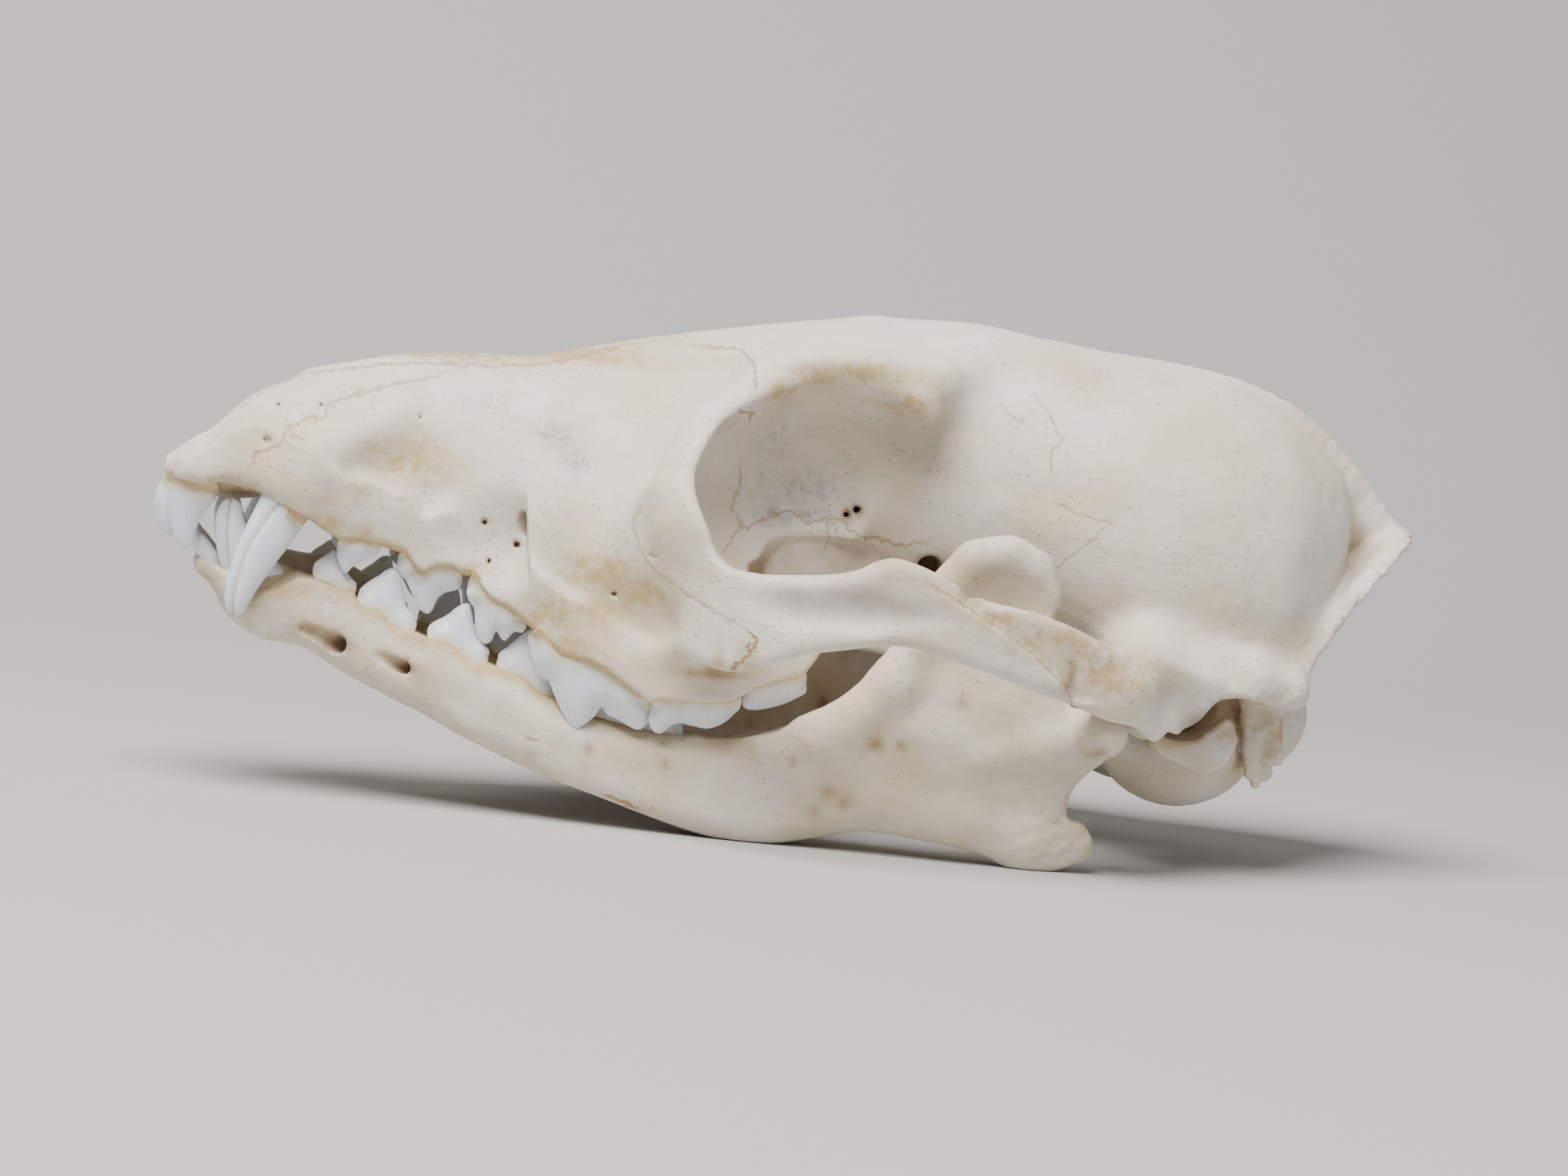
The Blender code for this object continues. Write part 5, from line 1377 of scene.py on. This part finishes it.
class Wire:
    """A socket in a node tree, with the arithmetic that the patterns need."""

    def __init__(self, tree, socket=None):
        """Without a socket, only a tree to add nodes to."""
        self.tree = tree
        self.socket = socket

    def node(self, kind, settings=None, inputs=None, output=0):
        """One output of a new node. Its settings are set first, then the values or links of its sockets."""
        made = self.tree.nodes.new(kind)
        for name, value in (settings or {}).items():
            if name == "curve":
                curve = made.mapping.curves[0]
                for place in value[2:]:
                    curve.points.new(*place)
                for point, place in zip(curve.points, value):
                    point.location = place
                made.mapping.update()
            else:
                setattr(made, name, value)
        for name, value in (inputs or {}).items():
            if isinstance(value, Wire):
                self.tree.links.new(value.socket, made.inputs[name])
            else:
                made.inputs[name].default_value = value
        return Wire(self.tree, made.outputs[output])

    def math(self, operation, *values):
        """The result of one piece of arithmetic on values or sockets."""
        return self.node("ShaderNodeMath", {"operation": operation}, dict(enumerate(values)))

    def __add__(self, other):
        return self.math("ADD", self, other)

    def __radd__(self, other):
        return self.math("ADD", other, self)

    def __sub__(self, other):
        return self.math("SUBTRACT", self, other)

    def __rsub__(self, other):
        return self.math("SUBTRACT", other, self)

    def __mul__(self, other):
        return self.math("MULTIPLY", self, other)

    def __rmul__(self, other):
        return self.math("MULTIPLY", other, self)

    def __abs__(self):
        return self.math("ABSOLUTE", self)

    def limited(self):
        """The value, kept from 0 to 1."""
        return self.node("ShaderNodeClamp", None, {"Value": self})

    def rising(self, low, high):
        """0 below low, 1 above high and smooth between. Falls if low is the higher."""
        return self.node("ShaderNodeMapRange", {"interpolation_type": "SMOOTHSTEP"},
                         {"Value": self, "From Min": low, "From Max": high})

    def noise(self, size, detail=3.0, roughness=0.5, distortion=0.0):
        """Noise at the places that this socket gives, its blotches about that many millimetres across."""
        return self.node("ShaderNodeTexNoise", None, {
            "Vector": self, "Scale": 1 / (size * MM), "Detail": detail, "Roughness": roughness,
            "Distortion": distortion})

    def cells(self, size, feature="F1"):
        """Distance from the nearest of some scattered points, or from the edge of the cells round them.

        The size, in millimetres, is how far apart they lie, and the distance is in units of it.
        """
        return self.node("ShaderNodeTexVoronoi", {"feature": feature}, {
            "Vector": self, "Scale": 1 / (size * MM)})

    def stretched(self, factors):
        """Places scaled, so that a pattern on them is drawn out where the factor is small."""
        return self.node("ShaderNodeMapping", None, {"Vector": self, "Scale": factors})

    def mixed(self, first, second):
        """Two colours, mixed by this value. The numbers are those of the node's colour sockets."""
        return self.node("ShaderNodeMix", {"data_type": "RGBA"}, {0: self, 6: first, 7: second}, 2)

    def stored(self, name):
        """A number kept at each vertex."""
        return self.node("ShaderNodeAttribute", {"attribute_name": name}, None, "Fac")


def new_finish(name, constants):
    """A material, its shader with those constants, and a wire of the object's own coordinates."""
    finish = bpy.data.materials.new(name)
    finish.use_nodes = True
    shader = finish.node_tree.nodes["Principled BSDF"]
    for socket, value in constants.items():
        shader.inputs[socket].default_value = value
    place = Wire(finish.node_tree).node("ShaderNodeTexCoord", None, None, "Object")
    return finish, shader, place


def connect(shader, place, colour, roughness, height, depth):
    """Feeds a shader its colour, its roughness and a bump. Depth is in millimetres."""
    links = place.tree.links
    bump = place.node("ShaderNodeBump", None, {"Height": height, "Distance": depth * MM, "Strength": 1.0})
    links.new(colour.socket, shader.inputs["Base Color"])
    links.new(roughness.socket, shader.inputs["Roughness"])
    links.new(bump.socket, shader.inputs["Normal"])


SKULL_WHITE = (0.79, 0.74, 0.68, 1.0)
SKULL_CREAM = (0.73, 0.63, 0.48, 1.0)
# The jaw's two tones are darker and tanner than the skull's: partly a real tan, and mostly painted shade for
# the light that falls off lower down.
JAW_SHADED_WHITE = (0.74, 0.67, 0.58, 1.0)
JAW_SHADED_CREAM = (0.66, 0.56, 0.40, 1.0)
AMBER = (0.52, 0.37, 0.17, 1.0)
# Dark brown for stains and specks, also painted as shade inside openings and small holes.
BROWN_STAIN_AND_SHADE = (0.20, 0.085, 0.03, 1.0)
SEAM_TAN = (0.44, 0.28, 0.14, 1.0)
ASH_GREY = (0.36, 0.34, 0.34, 1.0)
# Dust colour, also painted as shade in crevices and hollows.
DUST_AND_SHADE = (0.46, 0.35, 0.23, 1.0)


def bone_finish(name, white, cream):
    """Dry bone: pale, with cream clouds, pores, grain, sutures and stains, dust and painted shade in its
    crevices and hollows, and painted shade inside its openings.
    """
    finish, shader, place = new_finish(name, {
        "IOR": 1.5,
        "Specular IOR Level": 0.4,
        "Subsurface Weight": 0.12,
        "Subsurface Radius": (1.0, 0.55, 0.3),
        "Subsurface Scale": 0.0012,
    })
    clouds = place.noise(15.0, 4.0, 0.55)
    mottle = place.noise(3.2, 4.0, 0.6)
    grain = place.stretched((0.35, 1.0, 1.0)).noise(0.55, 4.0, 0.65)
    patches = place.noise(6.0, 2.0)
    pores = place.cells(0.8).rising(0.2, 0.08) * patches.rising(0.46, 0.6)
    specks = place.cells(2.4).rising(0.09, 0.04) * mottle.rising(0.5, 0.62)
    colour = clouds.rising(0.4, 0.66).mixed(white, cream)
    colour = (mottle.rising(0.42, 0.7) * 0.35).mixed(colour, cream)
    colour = (grain.rising(0.5, 0.75) * 0.18).mixed(colour, DUST_AND_SHADE)
    blotches = place.noise(1.6, 5.0, 0.75).rising(0.3, 0.7)
    amber = (place.stored("amber") * (0.5 + blotches * 1.2)).limited()
    colour = (amber * 0.9).mixed(colour, AMBER)
    gum = (place.stored("gum").rising(0.1, 0.9) * (0.4 + mottle)).limited()
    colour = (gum * 0.85).mixed(colour, AMBER)
    smudges = place.noise(1.5, 5.0, 0.75, 0.5).rising(0.36, 0.66)
    colour = (place.stored("grey") * (0.25 + smudges * 0.7)).limited().mixed(colour, ASH_GREY)
    # Brown stains, and painted shade: dark brown inside openings and small holes.
    colour = (place.stored("brown") * (0.4 + mottle)).limited().mixed(colour, BROWN_STAIN_AND_SHADE)
    # Painted shade: mixed towards dust colour in narrow crevices, partly as real dust, and in wide hollows,
    # where shade falls.
    cavity = place.stored("cavity")
    hollow = place.stored("hollow").rising(0.15, 1.0)
    colour = (cavity.rising(0.35, 1.0) * (0.3 + mottle * 0.8)).limited().mixed(colour, DUST_AND_SHADE)
    colour = (hollow * (0.25 + mottle * 0.5)).limited().mixed(colour, DUST_AND_SHADE)
    colour = (pores * 0.5).mixed(colour, DUST_AND_SHADE)
    colour = (specks * 0.7).mixed(colour, BROWN_STAIN_AND_SHADE)
    wiggle = place.noise(1.1, 2.0) - 0.5
    away = abs(place.stored("suture") + wiggle * 1.4)
    suture = away.rising(0.26, 0.08) * (place.stored("suture_shown") * 1.4).limited()
    colour = suture.mixed(colour, SEAM_TAN)
    rough_place = place.stored("rough")
    height = mottle * 0.5 + grain * 0.35 + place.noise(1.2, 3.0) * (0.3 + rough_place * 1.2)
    height = height - pores * 0.9 - suture * 0.6
    roughness = 0.44 + mottle * 0.2 + cavity * 0.15
    connect(shader, place, colour, roughness, height, 0.16)
    return finish


ENAMEL = (0.80, 0.83, 0.90, 1.0)
ENAMEL_CREAM = (0.80, 0.75, 0.64, 1.0)
ROOT_AMBER = (0.64, 0.48, 0.25, 1.0)
TARTAR = (0.30, 0.18, 0.08, 1.0)
CRACK_CREAM = (0.56, 0.47, 0.30, 1.0)


def enamel_finish():
    """Teeth: glossy bluish white crowns with hairline cracks, cream at the neck, and dull amber roots."""
    finish, shader, place = new_finish("tooth enamel", {
        "IOR": 1.6,
        "Subsurface Weight": 0.18,
        "Subsurface Radius": (1.0, 0.8, 0.6),
        "Subsurface Scale": 0.001,
    })
    crown = place.stored("crown")
    mottle = place.noise(1.6, 4.0, 0.6)
    shifted = crown + (mottle - 0.5) * 1.2
    colour = shifted.rising(-0.3, 0.5).mixed(ROOT_AMBER, ENAMEL_CREAM)
    colour = shifted.rising(0.3, 1.6).mixed(colour, ENAMEL)
    stain = place.noise(3.0, 3.0).rising(0.56, 0.7) * crown.rising(2.2, 0.2)
    colour = (stain * 0.5).mixed(colour, TARTAR)
    cracks = place.stretched((1.0, 1.0, 0.22)).cells(1.8, "DISTANCE_TO_EDGE").rising(0.03, 0.0)
    cracks = cracks * crown.rising(0.0, 1.0)
    colour = (cracks * 0.12).mixed(colour, ENAMEL_CREAM)
    colour = (place.stored("cracked").rising(0.55, 0.95) * 0.8).mixed(colour, CRACK_CREAM)
    root = crown.rising(0.5, -0.3)
    roughness = 0.2 + root * 0.35 + mottle * 0.1
    height = mottle * (0.15 + root * 0.5) - cracks * 0.4
    connect(shader, place, colour, roughness, height, 0.08)
    return finish


BACKDROP_DARK = (0.47, 0.465, 0.455, 1.0)
BACKDROP_LIGHT = (0.50, 0.495, 0.485, 1.0)


def backdrop_finish():
    """A plain pale backdrop with a faint grain."""
    finish, shader, place = new_finish("backdrop", {"Specular IOR Level": 0.2})
    grain = place.noise(1.5, 4.0)
    colour = grain.mixed(BACKDROP_DARK, BACKDROP_LIGHT)
    connect(shader, place, colour, 0.75 + grain * 0.1, grain, 0.02)
    return finish


# Making the pieces

def make_skull(finish):
    """The cranium, the muzzle and the two cheek bones."""
    (cranium, muzzle, jugal), first = sampled(skull_bones, SKULL_BLOCK, BONE_STEP)
    meshes = []
    for name, field in (("cranium", cranium), ("muzzle", muzzle)):
        whole, start = both_halves(field, first, BONE_STEP)
        meshes.append((name, bone_mesh(name, whole, start, BONE_STEP, MOST_TRIANGLES[name])))
    cheek = bone_mesh("jugal", jugal, first, BONE_STEP, MOST_TRIANGLES["jugal"])
    meshes.append(("jugal_left", flipped(cheek)))
    meshes.append(("jugal_right", cheek))
    for name, mesh in meshes:
        finish_bone(mesh, skull_form, rough_skull, UPPER_EDGE, SKULL_SUTURES, SKULL_STAINS_AND_SHADE)
        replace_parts(new_piece(f"{name}_bone", mesh, finish), name)


def make_jaw(finish):
    """The two halves of the lower jaw."""
    fields, first = sampled(jaw_bones, JAW_BLOCK, BONE_STEP)
    for name, field, side in (("mandible_right", fields[0], 1), ("mandible_left", fields[1], -1)):
        mesh = bone_mesh(name, field, first, BONE_STEP, MOST_TRIANGLES["mandible"])
        if side < 0:
            mesh = flipped(mesh)
        finish_bone(mesh, jaw_form, rough_jaw, LOWER_EDGE, JAW_CRACKS, JAW_STAINS_AND_SHADE)
        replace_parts(new_piece(f"{name}_bone", mesh, finish), name)


# How much room a cheek tooth's block leaves round the tooth's points, and on the inner and the outer side
# of its middle, where its cusps and its width lie.
TOOTH_ROOM = 2.5
ROOM_INSIDE = 8.0
ROOM_OUTSIDE = 5.0


def make_cheek_tooth(name, tooth, up, finish, sides=SIDES):
    """One cheek tooth on each side, from its form. Up is 1 in the upper jaw and -1 in the lower."""
    root_ends = tuple(end[:2] for root in tooth["roots"] for end in root)
    all_x, all_z = zip(*(tooth["crown"] + tooth["neck"] + root_ends))
    middle = across_of(tooth, sum(all_x) / len(all_x))
    corners = ((min(all_x) - TOOTH_ROOM, middle - ROOM_INSIDE, min(all_z) - TOOTH_ROOM),
               (max(all_x) + TOOTH_ROOM, middle + ROOM_OUTSIDE, max(all_z) + TOOTH_ROOM))
    (field,), first = sampled(lambda block: [cheek_tooth_form(block, name, tooth, up)], corners, TOOTH_STEP)
    points, quads = largest_surface(*surface_of(field, first, TOOTH_STEP))
    for side_name, side in sides:
        mesh = mesh_of(name, points * (1, side, 1), quads)
        places, _ = points_of(mesh)
        store(mesh, "crown", above_gum(places[:, 0], places[:, 2], tooth, up))
        new_piece(f"{name}_{side_name}", mesh, finish)


def ring_faces(rings, sides):
    """The triangles between rings of points, closed by a point in the middle of each end ring."""
    faces = []
    root_centre = rings * sides
    tip_centre = root_centre + 1
    last = root_centre - sides
    for ring in range(0, last, sides):
        for step in range(sides):
            a, b = ring + step, ring + (step + 1) % sides
            faces.append((a, b, b + sides))
            faces.append((a, b + sides, a + sides))
    for step in range(sides):
        after = (step + 1) % sides
        faces.append((root_centre, after, step))
        faces.append((tip_centre, last + step, last + after))
    return np.array(faces)


def make_fang(name, rows, neck, crack, up, finish):
    """One fang on each side, lofted through its rows, with the crack down its outer side."""
    table = np.array(rows)
    spread = np.linspace(0, 1, FANG_RINGS)
    order = np.argsort(table[:, 0])
    heights = table[0, 0] + (table[-1, 0] - table[0, 0]) * spread
    front, rear, y, half = smooth_through(table[order], heights)
    rings = []
    turns = np.arange(FANG_SIDES) * 2 * math.pi / FANG_SIDES
    for index in range(FANG_RINGS):
        middle = (front[index] + rear[index]) / 2
        length = (rear[index] - front[index]) / 2
        x = middle + length * np.cos(turns)
        across = y[index] + half[index] * np.sin(turns)
        rings.append(np.stack((x, across, np.full(FANG_SIDES, heights[index])), axis=1))
    points = np.concatenate(rings + [rings[0].mean(axis=0)[None], rings[-1].mean(axis=0)[None]])
    near, _ = line_distance(points[:, 0], points[:, 2], crack)
    outer = points[:, 1] > np.interp(points[:, 2], table[order, 0], table[order, 3])
    cracked = np.exp(-(near / CRACK_REACH) ** 2) * outer
    points[:, 1] -= cracked * CRACK_DEPTH
    faces = ring_faces(FANG_RINGS, FANG_SIDES)
    for side_name, side in SIDES:
        mesh = mesh_of(name, points * (1, side, 1), faces)
        places, _ = points_of(mesh)
        store(mesh, "crown", (np.interp(places[:, 0], *np.array(neck).T) - places[:, 2]) * up)
        store(mesh, "cracked", np.clip(1 - np.abs(near) / CRACK_STAIN, 0, 1) * outer)
        new_piece(f"{name}_{side_name}", mesh, finish)


def front_tooth_tree():
    """Nodes that make one small front tooth: a bent root and crown whose thickness follows a curve.

    Returns the tree and the identifiers of its inputs.
    """
    tree = bpy.data.node_groups.new("front tooth", "GeometryNodeTree")
    sockets = {}
    for name, kind in (("Root", "Vector"), ("Bend", "Vector"), ("Tip", "Vector"), ("Radius", "Float"),
                       ("Wide", "Float"), ("Finish", "Material")):
        socket = tree.interface.new_socket(name, in_out="INPUT", socket_type=f"NodeSocket{kind}")
        sockets[name] = socket.identifier
    tree.interface.new_socket("Tooth", in_out="OUTPUT", socket_type="NodeSocketGeometry")
    given = tree.nodes.new("NodeGroupInput")
    start = Wire(tree)

    def value_of(name):
        """A wire of one of the tree's inputs."""
        return Wire(tree, given.outputs[name])

    path = start.node("GeometryNodeCurveQuadraticBezier", None, {
        "Resolution": 40, "Start": value_of("Root"), "Middle": value_of("Bend"), "End": value_of("Tip")})
    along = start.node("GeometryNodeSplineParameter")
    thickness = start.node("ShaderNodeFloatCurve", {"curve": FRONT_TOOTH_THICKNESS}, {"Value": along})
    above = (along - 0.5) * start.node("GeometryNodeSplineLength") * (1 / MM)
    marked = start.node("GeometryNodeStoreNamedAttribute", {"data_type": "FLOAT", "domain": "POINT"},
                        {"Geometry": path, "Name": "crown", "Value": above})
    ring = start.node("GeometryNodeCurvePrimitiveCircle", None, {"Resolution": 24, "Radius": 1.0})
    body = start.node("GeometryNodeCurveToMesh", None, {
        "Curve": marked, "Profile Curve": ring, "Scale": thickness * value_of("Radius"), "Fill Caps": True})
    place = start.node("GeometryNodeInputPosition")
    away = start.node("ShaderNodeVectorMath", {"operation": "SUBTRACT"}, {0: place, 1: value_of("Tip")})
    sideways = start.node("ShaderNodeSeparateXYZ", None, {"Vector": away}, "Y")
    push = start.node("ShaderNodeCombineXYZ", None, {"Y": sideways * (value_of("Wide") - 1)})
    body = start.node("GeometryNodeSetPosition", None, {"Geometry": body, "Offset": push})
    body = start.node("GeometryNodeRealizeInstances", None, {"Geometry": body})
    body = start.node("GeometryNodeSetMaterial", None, {"Geometry": body, "Material": value_of("Finish")})
    result = tree.nodes.new("NodeGroupOutput")
    tree.links.new(body.socket, result.inputs["Tooth"])
    return tree, sockets


def make_front_teeth(finish):
    """The small front teeth, each from the node tree with its own sizes."""
    tree, sockets = front_tooth_tree()
    for name, (root, bend, tip, radius, wide) in FRONT_TEETH.items():
        for side_name, side in SIDES:
            shape = bpy.data.objects.new("front tooth", bpy.data.meshes.new("front tooth"))
            bpy.context.scene.collection.objects.link(shape)
            grown = shape.modifiers.new("grow", "NODES")
            grown.node_group = tree
            for socket, (x, y, z) in (("Root", root), ("Bend", bend), ("Tip", tip)):
                grown[sockets[socket]] = tuple(placed(np.array((x, y * side, z))))
            grown[sockets["Radius"]] = radius * MM
            grown[sockets["Wide"]] = wide
            grown[sockets["Finish"]] = finish
            mesh = evaluated_mesh(shape)
            mesh.materials.clear()
            new_piece(f"{name}_{side_name}", mesh, finish)


def make_teeth(finish):
    """All the teeth, each a piece of its own."""
    for arch, teeth, up in (("upper", UPPER_CHEEK_TEETH, 1), ("lower", LOWER_CHEEK_TEETH, -1)):
        for name, tooth in teeth.items():
            make_cheek_tooth(f"{arch}_{name}", tooth, up, finish)
    for name, tooth in REAR_LOWER_MOLARS.items():
        make_cheek_tooth(f"lower_{name}", tooth, -1, finish, sides=SIDES[1:])
    make_cheek_tooth("upper_incisor_3", CORNER_INCISOR, 1, finish)
    make_fang("upper_canine", UPPER_FANG, UPPER_FANG_NECK, UPPER_FANG_CRACK, 1, finish)
    make_fang("lower_canine", LOWER_FANG, LOWER_FANG_NECK, LOWER_FANG_CRACK, -1, finish)
    make_front_teeth(finish)


# The studio

# The camera, whose distance and target are in millimetres and whose angles are in degrees. The picture
# shows PIXELS_PER_MM at the target where it is PHOTO_WIDTH pixels wide.
CAMERA_DISTANCE = 600.0
CAMERA_YAW = 8.0
CAMERA_RISE = 4.0
CAMERA_ROLL = 5.2
CAMERA_TARGET = (82.97 - MIDDLE_X, 0.0, 30.91)
PIXELS_PER_MM = 10.73
PHOTO_WIDTH = 2212
SENSOR_WIDTH = 36.0

# The backdrop's half width, front, rear, height behind and the radius of its bend, in metres.
BACKDROP_HALF_WIDTH = 1.6
BACKDROP_FRONT = -0.9
BACKDROP_REAR = 0.5
BACKDROP_RISE = 1.0
BACKDROP_BEND = 0.25
BEND_STEPS = 12

# The square lights: place and size in metres, power in watts and tint. They point at the skull's middle.
LIGHTS = {
    "key": ((-0.26, -0.34, 0.86), 0.65, 21.5, (1.0, 0.98, 0.955)),
    "fill": ((0.6, -0.6, 0.35), 0.7, 1.0, (0.93, 0.96, 1.0)),
}
LIGHT_TARGET = (0.0, 0.0, 0.03)
SURROUNDINGS = (0.9, 0.93, 1.0, 1.0)
SURROUNDINGS_STRENGTH = 0.1


def make_camera():
    """The photo's viewpoint: from the skull's left, a little in front and above, and tilted."""
    yaw, rise, roll = (math.radians(a) for a in (CAMERA_YAW, CAMERA_RISE, CAMERA_ROLL))
    view = Vector((math.sin(yaw) * math.cos(rise), math.cos(yaw) * math.cos(rise), -math.sin(rise)))
    level = Vector((math.cos(yaw), -math.sin(yaw), 0))
    right = level * math.cos(roll) + level.cross(view) * math.sin(roll)
    up = right.cross(view)
    lens = bpy.data.cameras.new("camera")
    lens.sensor_width = SENSOR_WIDTH
    lens.lens = SENSOR_WIDTH * PIXELS_PER_MM * CAMERA_DISTANCE / PHOTO_WIDTH
    lens.clip_start = 0.01
    camera = bpy.data.objects.new("camera", lens)
    camera.matrix_world = Matrix((right, up, -view)).transposed().to_4x4()
    camera.location = (Vector(CAMERA_TARGET) - view * CAMERA_DISTANCE) * MM
    bpy.context.scene.collection.objects.link(camera)
    bpy.context.scene.camera = camera


def soft_light(name, place, size, power, tint):
    """One of the square lights."""
    lamp = bpy.data.lights.new(name, "AREA")
    lamp.shape = "SQUARE"
    lamp.size = size
    lamp.energy = power
    lamp.color = tint
    light = bpy.data.objects.new(name, lamp)
    light.location = place
    light.rotation_euler = (Vector(LIGHT_TARGET) - Vector(place)).to_track_quat("-Z", "Y").to_euler()
    bpy.context.scene.collection.objects.link(light)


def make_studio():
    """The backdrop, which curves up behind the skull, the lights and the pale surroundings."""
    bend = BACKDROP_BEND
    bend_start = BACKDROP_REAR - bend
    profile = [(BACKDROP_FRONT, 0.0), (bend_start, 0.0)]
    for step in range(1, BEND_STEPS + 1):
        turn = step / BEND_STEPS * math.pi / 2
        profile.append((bend_start + bend * math.sin(turn), bend - bend * math.cos(turn)))
    profile.append((BACKDROP_REAR, BACKDROP_RISE))
    points = [(side * BACKDROP_HALF_WIDTH, y, z) for y, z in profile for side in (-1, 1)]
    faces = [(2 * n, 2 * n + 1, 2 * n + 3, 2 * n + 2) for n in range(len(profile) - 1)]
    mesh = bpy.data.meshes.new("backdrop")
    mesh.from_pydata(points, [], faces)
    mesh.materials.append(backdrop_finish())
    mesh.shade_smooth()
    backdrop = bpy.data.objects.new("backdrop", mesh)
    bpy.context.scene.collection.objects.link(backdrop)
    for name, light in LIGHTS.items():
        soft_light(name, *light)
    world = bpy.data.worlds.new("surroundings")
    world.use_nodes = True
    world.node_tree.nodes["Background"].inputs["Color"].default_value = SURROUNDINGS
    world.node_tree.nodes["Background"].inputs["Strength"].default_value = SURROUNDINGS_STRENGTH
    bpy.context.scene.world = world


skull_bone = bone_finish("skull bone", SKULL_WHITE, SKULL_CREAM)
# The jaw's finish is the skull bone's darkened, partly as painted shade.
shaded_jaw_bone = bone_finish("jaw bone", JAW_SHADED_WHITE, JAW_SHADED_CREAM)
enamel = enamel_finish()
make_camera()
make_studio()
make_skull(skull_bone)
make_jaw(shaded_jaw_bone)
make_teeth(enamel)
